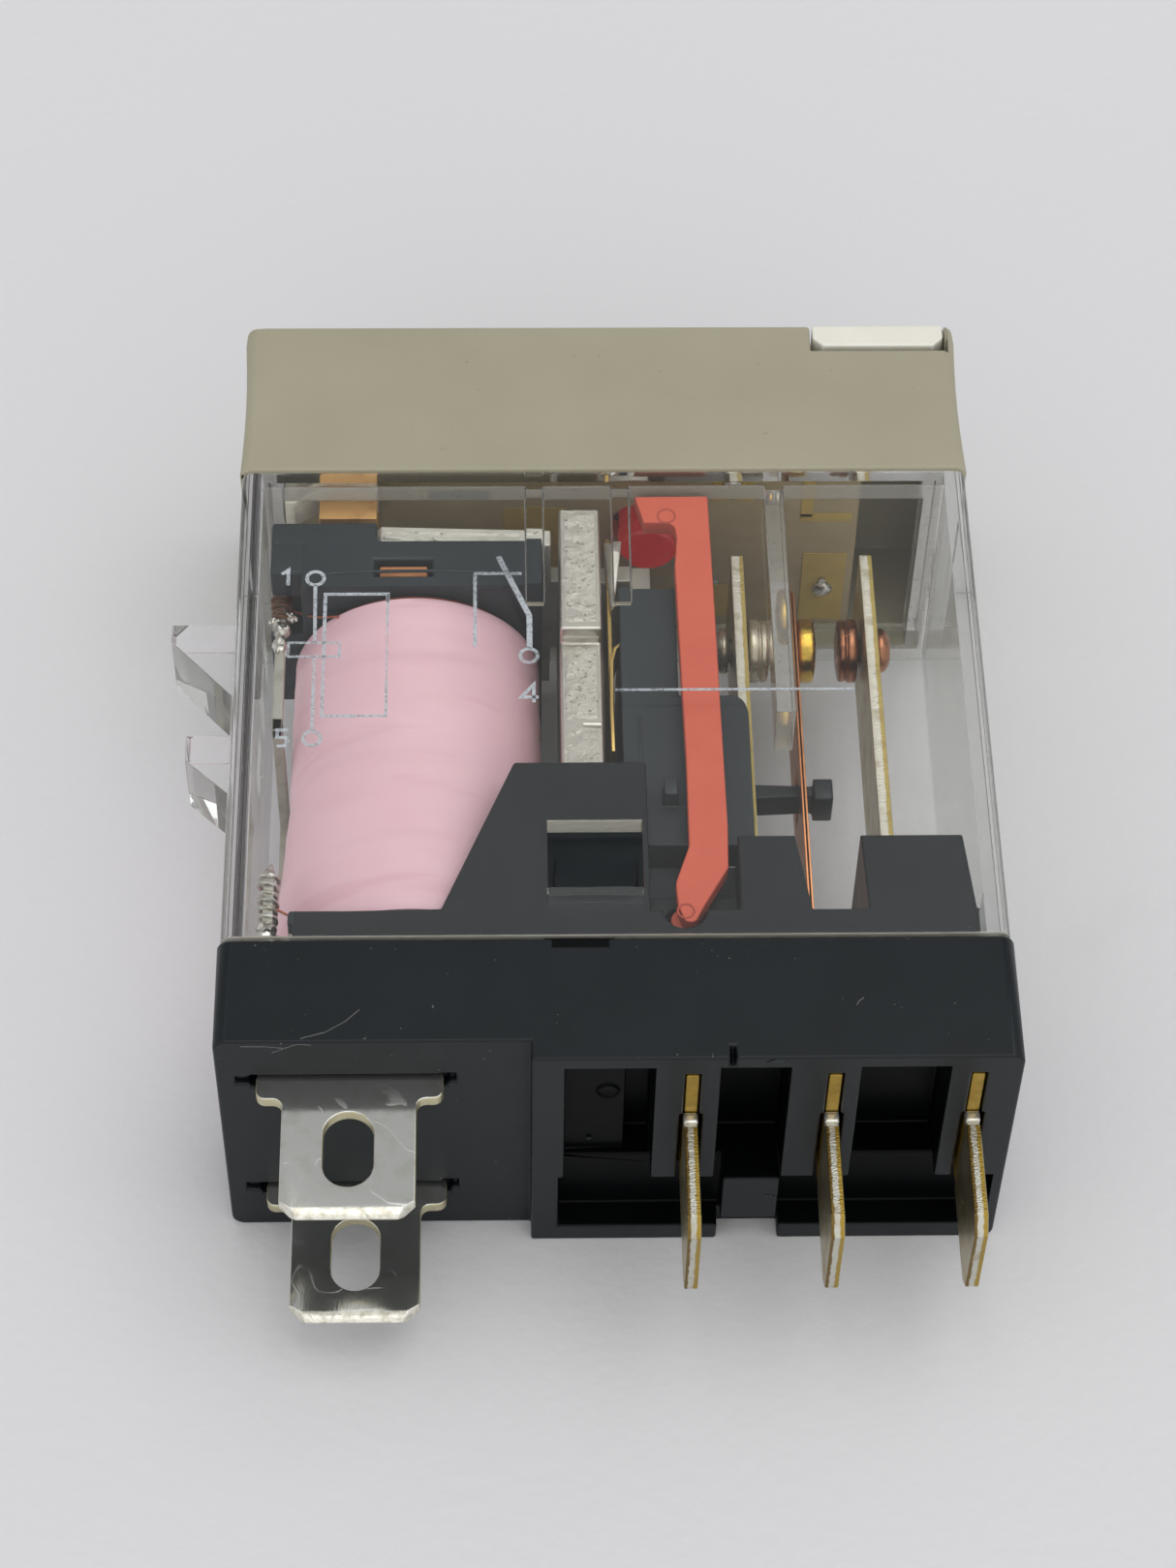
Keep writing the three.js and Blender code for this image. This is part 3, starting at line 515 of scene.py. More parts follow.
def turned(profile, axis, centre, slices=48, closed=False):
    # a [radius, height] profile turned about an axis through centre
    place = {
        "x": lambda r, a, h: (h, centre[1] + r * math.cos(a), centre[2] + r * math.sin(a)),
        "y": lambda r, a, h: (centre[0] + r * math.cos(a), h, centre[2] + r * math.sin(a)),
    }[axis]
    shape = bmesh.new()
    rings = []
    for radius, height in profile:
        if radius < 1e-6:
            rings.append([shape.verts.new(place(0, 0, height))])
        else:
            angles = [2 * math.pi * i / slices for i in range(slices)]
            rings.append([shape.verts.new(place(radius, a, height)) for a in angles])
    pairs = list(zip(rings, rings[1:] + rings[:1])) if closed else list(zip(rings, rings[1:]))
    for inner, outer in pairs:
        for i in range(slices):
            j = (i + 1) % slices
            corners = [inner[i % len(inner)], inner[j % len(inner)], outer[j % len(outer)],
                       outer[i % len(outer)]]
            face = list(dict.fromkeys(corners))
            if len(face) > 2:
                shape.faces.new(face)
    bmesh.ops.recalc_face_normals(shape, faces=shape.faces)
    return shape


def softened(profile, radius, steps=3):
    # rounds the inner corners of a [radius, height] profile
    result = [profile[0]]
    for before, corner, after in zip(profile, profile[1:], profile[2:]):
        before, corner, after = Vector(before), Vector(corner), Vector(after)
        reach = min(radius, (before - corner).length * 0.45, (after - corner).length * 0.45)
        start = corner + (before - corner).normalized() * reach
        end = corner + (after - corner).normalized() * reach
        for i in range(steps + 1):
            t = i / steps
            result.append(tuple(start * (1 - t) ** 2 + corner * 2 * t * (1 - t) + end * t * t))
    return result + [profile[-1]]


def wire(points, radius, sides=8):
    # a round wire along a row of points; radius is one number or one for each point
    points = [Vector(p) for p in points]
    radii = radius if isinstance(radius, list) else [radius] * len(points)
    shape = bmesh.new()
    rings = []
    sideways = None
    for i, point in enumerate(points):
        run = (points[min(i + 1, len(points) - 1)] - points[max(i - 1, 0)]).normalized()
        if sideways is None:
            sideways = run.orthogonal().normalized()
        sideways = (sideways - run * sideways.dot(run)).normalized()
        across = run.cross(sideways)
        turn = [2 * math.pi * k / sides for k in range(sides)]
        rings.append([
            shape.verts.new(point + (sideways * math.cos(a) + across * math.sin(a)) * radii[i]) for a in turn])
    for first, second in zip(rings, rings[1:]):
        for k in range(sides):
            shape.faces.new((first[k], first[(k + 1) % sides], second[(k + 1) % sides], second[k]))
    shape.faces.new(rings[0][::-1])
    shape.faces.new(rings[-1])
    bmesh.ops.recalc_face_normals(shape, faces=shape.faces)
    return shape


def helix(centre, axisLow, axisHigh, radius, turns, wobble=0.0, steps=18):
    # points of a coil about an axis along Y
    points = []
    total = round(turns * steps)
    for i in range(total + 1):
        share = i / total
        angle = 2 * math.pi * turns * share
        swell = radius + wobble * noise.noise((share * 9, turns, radius * 7))
        points.append((
            centre[0] + swell * math.cos(angle), axisLow + (axisHigh - axisLow) * share,
            centre[1] + swell * math.sin(angle)))
    return points


def lump(centre, size, seed, dents=0.18, detail=3):
    # a rounded drop with an uneven surface
    shape = bmesh.new()
    bmesh.ops.create_icosphere(shape, subdivisions=detail, radius=1)
    for vert in shape.verts:
        swell = 1 + dents * noise.noise(vert.co * 1.7 + Vector((seed, seed * 2.3, 0)))
        vert.co = Vector(centre) + Vector([vert.co[k] * size[k] * swell for k in range(3)])
    return shape


def tornSlab(low, high, rise, seed, grain, smoothFrom=2.0, cell=0.16, drop=0.12):
    # a cut face with torn metal: a closed slab whose top is uneven up to the share smoothFrom of its width
    countX = max(3, round((high[0] - low[0]) / cell))
    countY = max(3, round((high[1] - low[1]) / cell))
    slope = rise if callable(rise) else (lambda x: 0.0)
    shape = bmesh.new()
    grid = []
    for j in range(countY + 1):
        row = []
        for i in range(countX + 1):
            shareX, shareY = i / countX, j / countY
            x = low[0] + (high[0] - low[0]) * shareX
            y = low[1] + (high[1] - low[1]) * shareY + slope(x)
            coarse = noise.noise((x * 2.6 + seed, y * 2.6, seed))
            fine = noise.noise((x * 7, y * 7, seed))
            rough = grain * coarse + grain * 0.6 * fine
            keep = 1.0 if shareX < smoothFrom else 0.12
            edge = min(shareX, 1 - shareX) * (high[0] - low[0]) < cell * 0.5
            edge = edge or min(shareY, 1 - shareY) * (high[1] - low[1]) < cell * 0.5
            z = high[2] + (-drop * 0.5 if edge else rough * keep)
            row.append(shape.verts.new((x, y, z)))
        grid.append(row)
    for j in range(countY):
        for i in range(countX):
            shape.faces.new((grid[j][i], grid[j][i + 1], grid[j + 1][i + 1], grid[j + 1][i]))
    rim = grid[0] + [row[-1] for row in grid[1:]] + grid[-1][-2::-1] + [row[0] for row in grid[-2:0:-1]]
    foot = [shape.verts.new((v.co.x, v.co.y, low[2])) for v in rim]
    for i in range(len(rim)):
        j = (i + 1) % len(rim)
        shape.faces.new((rim[i], foot[i], foot[j], rim[j]))
    shape.faces.new(foot)
    bmesh.ops.recalc_face_normals(shape, faces=shape.faces)
    return shape


def ribbon(points, width, level, thick, closed=False):
    # a flat printed line along points in the XY plane
    points = [Vector(p) for p in points]
    count = len(points)
    left, right = [], []
    for i, point in enumerate(points):
        before = points[i - 1] if closed or i else point
        after = points[(i + 1) % count] if closed or i < count - 1 else point
        first, second = (point - before), (after - point)
        first = first.normalized() if first.length else second.normalized()
        second = second.normalized() if second.length else first
        run = (first + second).normalized()
        side = Vector((-run.y, run.x))
        reach = width / 2 / max(0.35, side.dot(Vector((-first.y, first.x))))
        left.append(point + side * reach)
        right.append(point - side * reach)
    shape = bmesh.new()
    rows = [[shape.verts.new((p.x, p.y, z)) for p in line]
            for line in (left, right) for z in (level, level + thick)]
    leftLow, leftHigh, rightLow, rightHigh = rows
    for i in range(count if closed else count - 1):
        j = (i + 1) % count
        shape.faces.new((leftHigh[i], leftHigh[j], rightHigh[j], rightHigh[i]))
        shape.faces.new((leftLow[i], leftLow[j], rightLow[j], rightLow[i]))
        shape.faces.new((leftLow[i], leftLow[j], leftHigh[j], leftHigh[i]))
        shape.faces.new((rightLow[i], rightLow[j], rightHigh[j], rightHigh[i]))
    if not closed:
        for i in (0, count - 1):
            shape.faces.new((leftLow[i], leftHigh[i], rightHigh[i], rightLow[i]))
    bmesh.ops.recalc_face_normals(shape, faces=shape.faces)
    return shape


def thickLine(points, thick):
    # the outline of a bent strip seen from its edge
    left, right = [], []
    for i, point in enumerate(points):
        before, after = points[max(i - 1, 0)], points[min(i + 1, len(points) - 1)]
        run = (Vector(after) - Vector(before)).normalized()
        side = Vector((-run.y, run.x)) * thick / 2
        left.append(tuple(Vector(point) + side))
        right.append(tuple(Vector(point) - side))
    return left + right[::-1]


def cutAcross(shape, level):
    # adds a row of vertices at a level along Y
    everything = list(shape.verts) + list(shape.edges) + list(shape.faces)
    bmesh.ops.bisect_plane(shape, geom=everything, dist=0.001, plane_co=(0, level, 0), plane_no=(0, 1, 0))


def together(*shapes):
    whole = shapes[0]
    for shape in shapes[1:]:
        scratch = bpy.data.meshes.new("scratch")
        shape.to_mesh(scratch)
        whole.from_mesh(scratch)
        bpy.data.meshes.remove(scratch)
        shape.free()
    return whole


def bench(shape):
    mesh = bpy.data.meshes.new("bench")
    shape.to_mesh(mesh)
    shape.free()
    item = bpy.data.objects.new("bench", mesh)
    bpy.context.collection.objects.link(item)
    return item


def carved(shape, *tools):
    # cuts tools out of a shape
    body = bench(shape)
    cutters = [bench(tool) for tool in tools]
    for cutter in cutters:
        cut = body.modifiers.new("cut", "BOOLEAN")
        cut.operation = "DIFFERENCE"
        cut.solver = "EXACT"
        cut.object = cutter
    result = bmesh.new()
    result.from_mesh(body.evaluated_get(bpy.context.evaluated_depsgraph_get()).to_mesh())
    for item in [body, *cutters]:
        bpy.data.meshes.remove(item.data)
    flatten(result)
    return result


def roundedAlong(shape, axis, radius, keep=lambda middle: True, steps=4):
    # rounds the edges that run along an axis, where keep says so
    edges = []
    for edge in shape.edges:
        run = (edge.verts[1].co - edge.verts[0].co)
        if run.length and abs(run.normalized()[axis]) > 0.999 and len(edge.link_faces) == 2:
            if edge.calc_face_angle(0) > math.radians(18) and keep((edge.verts[0].co + edge.verts[1].co) / 2):
                edges.append(edge)
    bmesh.ops.bevel(
        shape, geom=edges, offset=radius, segments=steps, profile=0.5, affect="EDGES", clamp_overlap=True)
    return shape


def paintFaces(shape, index, test):
    for face in shape.faces:
        if test(face.normal, face.calc_center_median()):
            face.material_index = index
    return shape


def placed(name, shape, finishes=()):
    # turns a shape in millimetres into an object in metres
    bmesh.ops.transform(shape, matrix=Matrix.Scale(mm, 4), verts=shape.verts)
    mesh = bpy.data.meshes.new(name)
    shape.to_mesh(mesh)
    shape.free()
    for finish in finishes:
        mesh.materials.append(finish)
    item = bpy.data.objects.new(name, mesh)
    bpy.context.collection.objects.link(item)
    return item


def addPiece(name, shape, finishes, stands=(), bevel=0.0, steps=2, angle=30, body="housing"):
    # stands: the CAD nodes that this piece stands for; edges sharper than angle are rounded by bevel
    for face in shape.faces:
        face.smooth = True
    if not bevel:
        for edge in shape.edges:
            edge.smooth = len(edge.link_faces) != 2 or edge.calc_face_angle(0) < math.radians(angle)
    piece = placed(name, shape, finishes)
    if bevel:
        softEdge = piece.modifiers.new("softEdge", "BEVEL")
        softEdge.width = bevel * mm
        softEdge.segments = steps
        softEdge.limit_method = "ANGLE"
        softEdge.angle_limit = math.radians(angle)
        softEdge.use_clamp_overlap = False
        evenLight = piece.modifiers.new("evenLight", "WEIGHTED_NORMAL")
        evenLight.weight = 92
        evenLight.keep_sharp = True
    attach(piece, body)
    if stands:
        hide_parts(*stands)
    return piece


def makeFloor():
    half = room["floorSize"] / 2
    shape = slab((-half, -half, -room["floorThick"]), (half, half, 0))
    placed("floor", shape, [paperFloor()])


makeFloor()
seat = mountPoint("seating_face").y  # the face that the relay's socket meets
baseLow, baseHigh = box("base")
caseLow, caseHigh = box("clear_case")
capLow, capHigh = box("top_cap")
middleZ = (baseLow.z + baseHigh.z) / 2
upperTip, lowerTip = mountPoint("coil_blade_upper_tip"), mountPoint("coil_blade_lower_tip")

baseLook = {
    "edge": 0.1,
    "mark": (2.95, 2.0, 0.4),  # left of the first blade, above the middle, radius
    "notch": (1.27, 1.49),  # right of the first blade
    "rootSlot": (0.28, 2.15, 1.2, 5.25),  # half width, depth, and two levels above the middle
    "bladeSlots": ((-4.1, -3.2, -0.2, 0.3), (3.2, 3.8, -0.15, 0.45)),  # beside a coil blade: x, x, z, z
    "latchShade": (7.0, 9.55),  # right of the coil blades: the deep black slab of painted shade in the latch notch
    # painted shade: the black slab in the recess behind the indicator lever, right of the coil blades
    "shelf": (10.0, 15.4),
    "scratchWidth": 0.035,
    "scratches": [
        [(-13.4, -0.2), (-12.6, -0.2), (-11.8, -0.3), (-11.25, 0.15), (-10.4, 0.4), (-9.7, 0.85),
         (-9.2, 1.35)],
        [(-12.3, -0.5), (-11.4, -0.1), (-10.9, -0.15)],
        [(8.5, 1.4), (8.62, 1.6), (8.78, 1.72)]],
}


def bladeCentre(node):
    # middle of a contact blade: its lowest points are all on the blade's tip
    mesh = frame["nodes"][node].data
    lowest = min(v.co.y for v in mesh.vertices)
    tip = [v.co.x for v in mesh.vertices if v.co.y < lowest + 0.3 * mm]
    return (min(tip) + max(tip)) / 2 / mm


def makeBase():
    d = baseLook
    blades = [bladeCentre(node) for node in ("nc_terminal", "com_terminal", "no_terminal")]
    first = blades[0]
    left, up, radius = d["mark"]
    mark = turned([(0, seat + 0.1), (radius, seat + 0.1), (radius, seat + 0.62), (0, seat + 0.62)],
                  "y", (first - left, 0, middleZ + up), 24)
    left, right = d["notch"]
    notch = slab((first + left, seat - 1, baseHigh.z - 0.5), (first + right, seat - 0.25, baseHigh.z + 0.5))
    half, deep, foot, head = d["rootSlot"]
    slots = [slab((x - half, seat - 1.5, middleZ + foot),
                  (x + half, seat + deep, middleZ + head)) for x in blades]
    for tip, rise in ((upperTip, 0.0), (lowerTip, 0.1)):
        for x0, x1, z0, z1 in d["bladeSlots"]:
            slots.append(slab((tip.x + x0, seat - 1, tip.z + z0 + rise),
                              (tip.x + x1, seat + 0.35, tip.z + z1 + rise)))
    shape = carved(fromCad("base"), mark, notch, *slots)

    # painted shade: the floors and walls of the recesses beside the seating face take the deepest black
    def pocketShade(normal, middle):
        inside = first - 4.3 < middle.x < baseHigh.x - 0.3 and 0.35 < middle.z < baseHigh.z - 0.35
        floor = normal.y < -0.5 and middle.y > seat + 0.05
        wall = abs(normal.y) < 0.5 and seat - 0.7 < middle.y < seat + 3.4
        return inside and (floor or wall)

    paintFaces(shape, 1, pocketShade)
    addPiece("base_moulding", shape, [blackBase, paintedShadeBlack], ["base"], d["edge"])
    burrs = [
        lump((first + 3.0, seat - 0.78, baseHigh.z - 0.2), (0.4, 0.07, 0.1), 3, 0.9),
        lump((first - 3.6, seat + 0.55, middleZ - 1.2), (0.09, 0.05, 0.05), 5, 0.5),
        lump((blades[1] - 2.0, seat - 0.78, middleZ - 3.2), (0.2, 0.05, 0.08), 8, 0.9),
    ]
    addPiece("moulding_burrs", together(*burrs), [blackInner])
    front = baseHigh.z
    # painted shade: a deep black slab sits in the latch notch in the base's top edge, so that the notch reads
    # dark
    left, right = (upperTip.x + x for x in d["latchShade"])
    latchShade = slab((left, caseLow.y - 0.8, front - 0.9), (right, caseLow.y - 0.12, front - 0.03))
    addPiece("latch_painted_shade", latchShade, [paintedShadeBlack], (), 0.03)
    scuffs = together(*[
        ribbon([(x, seat + y) for x, y in trace], d["scratchWidth"], front - 0.004,
               0.01) for trace in d["scratches"]])
    for vert in scuffs.verts:
        if vert.co.y < seat:  # this end of the scratch runs down the seating face
            vert.co.y, vert.co.z = seat + front - vert.co.z, front - (seat - vert.co.y) * 1.35
    addPiece("fine_scratches", scuffs, [scuffGrey])
    # painted shade: a black slab fills the recess behind the indicator lever
    left, right = (upperTip.x + x for x in d["shelf"])
    addPiece("lever_shelf", slab((left, seat + 5.0, 8.5), (right, seat + 9.5, 9.5)),
             [blackInner], (), 0.05)


caseLook = {"edge": 0.05, "windowTop": 9.6, "ribFrom": 14.5, "ribHalf": 0.7, "ribShift": 0.95}


def makeCase():
    d = caseLook
    shape = fromCad("clear_case")
    windowHigh = seat + d["windowTop"]

    def rimFace(normal, middle):
        window = abs(middle.y - windowHigh) < 0.05 and -3 < middle.x < 1.5 and abs(middle.z - middleZ) > 5
        return normal.y < -0.9 and (window or middle.y < caseLow.y + 0.05)

    def topStep(normal, middle):
        return normal.y < -0.7 and caseHigh.y - 1.4 < middle.y < caseHigh.y - 0.8

    paintFaces(shape, 3, lambda normal, middle: abs(normal.x) > 0.9 and 13 < abs(middle.x) < 14.6)
    paintFaces(shape, 1, rimFace)
    paintFaces(shape, 2, topStep)
    springX = (box("moving_spring")[0].x + box("moving_spring")[1].x) / 2

    def inRib(point):
        beside = abs(point.x - springX - 0.15) < d["ribHalf"] and point.y > seat + d["ribFrom"]
        return beside and 8 < point.z < caseHigh.z - 0.7

    def ribBack(normal, middle):
        return inRib(middle) and normal.z < -0.9 and middle.z < caseHigh.z - 1.5

    paintFaces(shape, 2, ribBack)
    for vert in shape.verts:
        if inRib(vert.co):
            vert.co.x -= d["ribShift"]
    finishes = [clearCase, caseEdge, caseHaze, clearWall]
    addPiece("case_shell", shape, finishes, ["clear_case"], d["edge"])


capLook = {"edge": 0.12, "waist": 0.12, "flare": 0.06, "lip": 0.25, "reach": 0.7}


def makeCap():
    d = capLook
    shape = fromCad("top_cap")
    height = capHigh.y - capLow.y
    for level in (0.15, 0.3, 0.45, 0.6, 0.75, 0.9):
        cutAcross(shape, capLow.y + level * height)
    for vert in shape.verts:
        if vert.co.y > seat + 34.45:
            vert.co.y += d["lip"]
        share = min(1, (vert.co.y - capLow.y) / height)
        waist = d["waist"] * math.sin(math.pi * min(1, share * 0.8 / 0.75))
        pull = waist - d["flare"] * max(0, share - 0.8) * 5
        near = max(0, min(1, (abs(vert.co.x) - capHigh.x + d["reach"]) / d["reach"]))
        vert.co.x -= math.copysign(pull * near, vert.co.x)
    addPiece("cap_moulding", shape, [beigeCap], ["top_cap"], d["edge"], 3, 25)


plateLook = {"edge": 0.09, "corner": 0.42, "proud": 0.04}


def makePlate():
    low, high = box("marking_plate")
    d = plateLook
    outline = [
        (low.x + d["corner"], low.y), (high.x - d["corner"], low.y), (high.x, low.y + d["corner"]),
        (high.x, high.y), (low.x, high.y), (low.x, low.y + d["corner"])]
    shape = extruded(outline, "xy", low.z, high.z + d["proud"])
    addPiece("write_on_plate", shape, [plateWhite], ["marking_plate"], d["edge"], 3)


lampWindowLook = {"dome": 0.25}


def makeLampWindow():
    low, high = box("lamp_window")
    radius = (high.x - low.x) / 2
    rise = lampWindowLook["dome"]
    dome = [(radius * math.cos(a), high.y - rise + rise * math.sin(a)) for a in
            [math.radians(10 * i) for i in range(9)]]
    shape = turned([(0, low.y), (radius, low.y), *dome, (0, high.y)], "y", (low + high) / 2)
    addPiece("lamp_lens", shape, [lampClear], ["lamp_window"])


makeBase()
makeCase()
makeCap()
makePlate()
makeLampWindow()
print("mouldings made")


coilLook = {
    "rows": 64, "slices": 120, "edge": 0.28, "sag": 0.3, "sagTop": 8.2, "wrinkle": 0.045,
    "lap": 0.035, "laps": (3.4, 7.4, 11.9), "bore": 3.3, "wireRows": 130,
}


def makeCoil():
    d = coilLook
    low, high = box("coil_winding")
    centre = (low + high) / 2
    radius = (high.x - low.x) / 2
    low.y -= 0.5
    length = high.y - low.y
    angles = [2 * math.pi * k / d["slices"] for k in range(d["slices"])]
    shape = bmesh.new()
    rings = []
    for i in range(d["rows"] + 1):
        share = i / d["rows"]
        y = low.y + length * share
        ends = min(share, 1 - share) * length
        edge = d["edge"] * (1 if share > 0.5 else 0.2)
        rounded = edge * (1 - math.sqrt(max(0, 1 - (1 - min(1, ends / edge)) ** 2)))
        lap = sum(d["lap"] for at in d["laps"] if share * length < at)
        drop = max(0.0, min(1.0, (d["sagTop"] - share * length) / 6))
        soft = drop * drop * (3 - 2 * drop)
        ring = []
        for angle in angles:
            # the tape bulges to the left near its lower end, and is creased all over
            leftward = max(0, -math.cos(angle)) ** 1.6
            crease = noise.noise((math.cos(angle) * 1.3, y * 1.1, math.sin(angle) * 1.3 + 4))
            fine = noise.noise((math.cos(angle) * 3.2, y * 1.9, math.sin(angle) * 3.2))
            r = radius - 0.11 - rounded + lap * 0.9 + d["sag"] * soft * leftward
            r += d["wrinkle"] * (crease + 0.4 * fine) * min(1, ends / 0.6)
            ring.append(shape.verts.new((centre.x + r * math.cos(angle), y, centre.z + r * math.sin(angle))))
        rings.append(ring)
    bore = d["bore"]
    for y in (high.y, low.y):
        rings.append([
            shape.verts.new((centre.x + bore * math.cos(a), y,
                             centre.z + bore * math.sin(a))) for a in angles])
    for first, second in zip(rings, rings[1:] + rings[:1]):
        for k in range(d["slices"]):
            n = (k + 1) % d["slices"]
            shape.faces.new((first[k], first[n], second[n], second[k]))
    bmesh.ops.recalc_face_normals(shape, faces=shape.faces)
    addPiece("coil_tape", shape, [tape], ["coil_winding"], angle=50)
    inner = radius - 0.39
    rows = d["wireRows"]
    wound = [(inner + 0.07 * math.sin(i * math.pi * 0.5), low.y - 0.11 + (length + 0.22) * i / rows)
             for i in range(rows + 1)]
    wound = [(bore, wound[0][1]), *wound, (bore, wound[-1][1])]
    addPiece("winding_wire", turned(wound, "y", centre, 72, True), [wireCopper], angle=70)


bobbinLook = {"edge": 0.12, "blockEdge": 0.15, "ridge": (3.75, 0.25, 0.07)}  # ridge: reach, rise, radius


def makeBobbin():
    high = box("bobbin")[1]
    centre = (box("coil_winding")[0] + box("coil_winding")[1]) / 2
    foot = box("shading_ring")[0].y - 0.65
    addPiece("bobbin_moulding", fromCad("bobbin"), [blackInner], ["bobbin"],
             bobbinLook["edge"])
    left = box("board_clip_front")[0].x
    block = slab((left - 1.8, foot + 2.1, high.z - 1.6), (left + 2.36, foot + 3.25, high.z))
    cheek = slab((left - 1.8, foot + 0.65, high.z - 1.5), (left + 0.5, foot + 2.3, high.z - 0.03))
    addPiece("bobbin_block", together(block, cheek), [blackInner], (),
             bobbinLook["blockEdge"])
    reach, rise, radius = bobbinLook["ridge"]
    ridge = [(centre.x + reach * math.cos(a), foot + 0.5 + rise * math.sin(a), high.z - 0.02) for a in
             [math.radians(20 + 14 * i) for i in range(11)]]
    addPiece("bobbin_ridge", wire(ridge, radius), [blackInner])


yokeLook = {
    "edge": 0.12, "smoothFrom": 0.5, "inset": 0.09, "stakeAt": 15.47, "stepAt": 19.8, "lower": 4.0,
    "torn": 0.09,
}


def makeYoke():
    d = yokeLook
    high = box("yoke")[1]
    addPiece("yoke_stamping", fromCad("yoke"), [iron], ["yoke"], d["edge"], 3)
    left = box("coil_winding")[1].x + 0.67
    step, stake, lower = seat + d["stepAt"], seat + d["stakeAt"], middleZ + d["lower"]
    # each band of torn metal: its lowest and highest y, its level, and how far it stands out
    bands = [(step + 0.05, high.y - 0.12, high.z, 0.015), (stake + 0.3, step - 0.32, lower, 0.03),
             (seat + 7, stake - 0.05, lower, 0.012)]
    torn = [
        tornSlab((left + d["inset"], y0, z - 0.1), (high.x - d["inset"], y1, z + proud), 0, 3.1 * i + 1,
                 d["torn"],
                 d["smoothFrom"]) for i, (y0, y1, z, proud) in enumerate(bands)]
    addPiece("yoke_torn_edge", together(*torn), [ironTorn], angle=180)
    lips = [
        wire([(left + 0.12, step - 0.12, lower + 0.3), (high.x - 0.12, step - 0.1, lower + 0.34)], 0.13),
        wire([(left + 0.85, stake + 0.12, lower + 0.02), (high.x - 0.1, stake + 0.08, lower + 0.04)], 0.12),
    ]
    addPiece("yoke_lips", together(*lips), [steelBright])


hingeLook = {"forkEdge": 0.04, "leafThick": 0.15, "leafWide": 1.4, "tongueThick": 0.22, "edge": 0.03}


def makeHingeSpring():
    d = hingeLook
    low, high = box("hinge_spring")
    addPiece("hinge_fork", fromCad("hinge_spring"), [springBronze], ["hinge_spring"],
             d["forkEdge"])
    front = middleZ + 3.9
    mid = (low.x + high.x) / 2
    path = [(mid, low.y - 0.1), (mid - 0.02, low.y + 2), (mid + 0.02, low.y + 4.3), (mid + 0.16, low.y + 4.9),
            (mid + 0.42, low.y + 5.15)]
    leaf = extruded(thickLine(path, d["leafThick"]), "xy", front - d["leafWide"], front)
    addPiece("hinge_leaf", leaf, [springBronze], (), d["edge"])
    # the folded tongue at the leaf's upper end
    tongue = bmesh.new()
    top, tip = high.y - 0.9, low.y + 7.2
    outline = [(-0.05, top + 0.5, -0.5), (0.62, top + 0.15, -0.1), (0.56, top - 0.6, 0.1), (0.3, tip, -0.25),
               (0.14, tip + 0.05, -0.4), (-0.03, top - 0.5, -0.15)]
    upper = [tongue.verts.new((low.x + x, y, front + z)) for x, y, z in outline]
    under = [tongue.verts.new((low.x + x, y, front + z - d["tongueThick"])) for x, y, z in outline]
    centre = tongue.verts.new((low.x + 0.25, top - 0.55, front + 0.16))
    for i in range(len(outline)):
        j = (i + 1) % len(outline)
        tongue.faces.new((upper[i], upper[j], centre))
        tongue.faces.new((upper[i], under[i], under[j], upper[j]))
    tongue.faces.new(under)
    bmesh.ops.recalc_face_normals(tongue, faces=tongue.faces)
    addPiece("hinge_tongue", tongue, [steelBright], (), d["edge"], 2, 12)


makeCoil()
makeBobbin()
addPiece("shading_loop", fromCad("shading_ring"), [copperBar], ["shading_ring"], 0.07, 3)
addPiece("pole_core", fromCad("core"), [iron], ["core"], 0.08, 2, 40)
makeYoke()
makeHingeSpring()
print("coil and magnet made")


armatureLook = {"edge": 0.07, "thin": 0.5, "thinFrom": 23, "reach": 8.64, "slope": 0.035}
cardLook = {
    "edge": 0.08, "pegAt": 14.9, "pegNeck": 0.5, "pegHead": 0.62, "corner": 0.45, "ribs": (0.6, 3.4),
    "rib": 0.14,
}
leverLook = {
    "edge": 0.07, "lowCorner": 0.22, "highCorner": 0.12,
    "marks": ((1.25, -1.05, 0.34), (1.42, 0.48, 0.3)),
}


def makeArmature():
    d = armatureLook
    low, high = box("armature")
    shape = fromCad("armature")
    for vert in shape.verts:
        if vert.co.y > seat + d["thinFrom"]:
            vert.co.z = min(max(vert.co.z, low.z + d["thin"]), high.z - d["thin"])
    high.z -= d["thin"]
    addPiece("armature_plate", shape, [armatureIron], ["armature"], d["edge"], 3,
             body="armature_assembly")
    right = box("yoke")[1].x
    wide = right - d["reach"] + 0.06
    shoulder = box("coil_winding")[1].x + 0.31
    under = seat + 24.15

    def rise(x):
        return (right - x) * d["slope"]

    upper = tornSlab((wide, under + 0.32, high.z - 0.1), (shoulder, under + 0.74, high.z + 0.012), rise, 5,
                     0.05)
    lower = tornSlab(
        (wide, under + 0.05, high.z - 0.1), (shoulder, under + 0.33, high.z + 0.03), rise, 9, 0.13, cell=0.11)
    torn = together(upper, lower)
    addPiece("armature_torn_edge", torn, [ironCut], angle=180, body="armature_assembly")


def makeCard():
    d = cardLook
    low, high = box("contact_card")
    peg = seat + d["pegAt"]
    shape = fromCad("contact_card")
    for vert in shape.verts:
        if vert.co.x > low.x + 5.5:
            narrowed = d["pegHead"] if vert.co.x > high.x - 0.95 else d["pegNeck"]
            vert.co.y = peg + (vert.co.y - peg) * narrowed
    shape = roundedAlong(shape, 2, d["corner"], lambda p: p.y > seat + 16 and p.x > low.x + 3)
    addPiece("card_moulding", shape, [cardBlack], ["contact_card"], d["edge"],
             body="armature_assembly")
    front = middleZ + 4.15
    ribs = [slab((low.x + x, low.y + 0.5, front - 0.2), (low.x + x + d["rib"], seat + 15.9, front + 0.05))
            for x in d["ribs"]]
    addPiece("card_ribs", together(*ribs), [cardBlack], (), 0.03, body="armature_assembly")


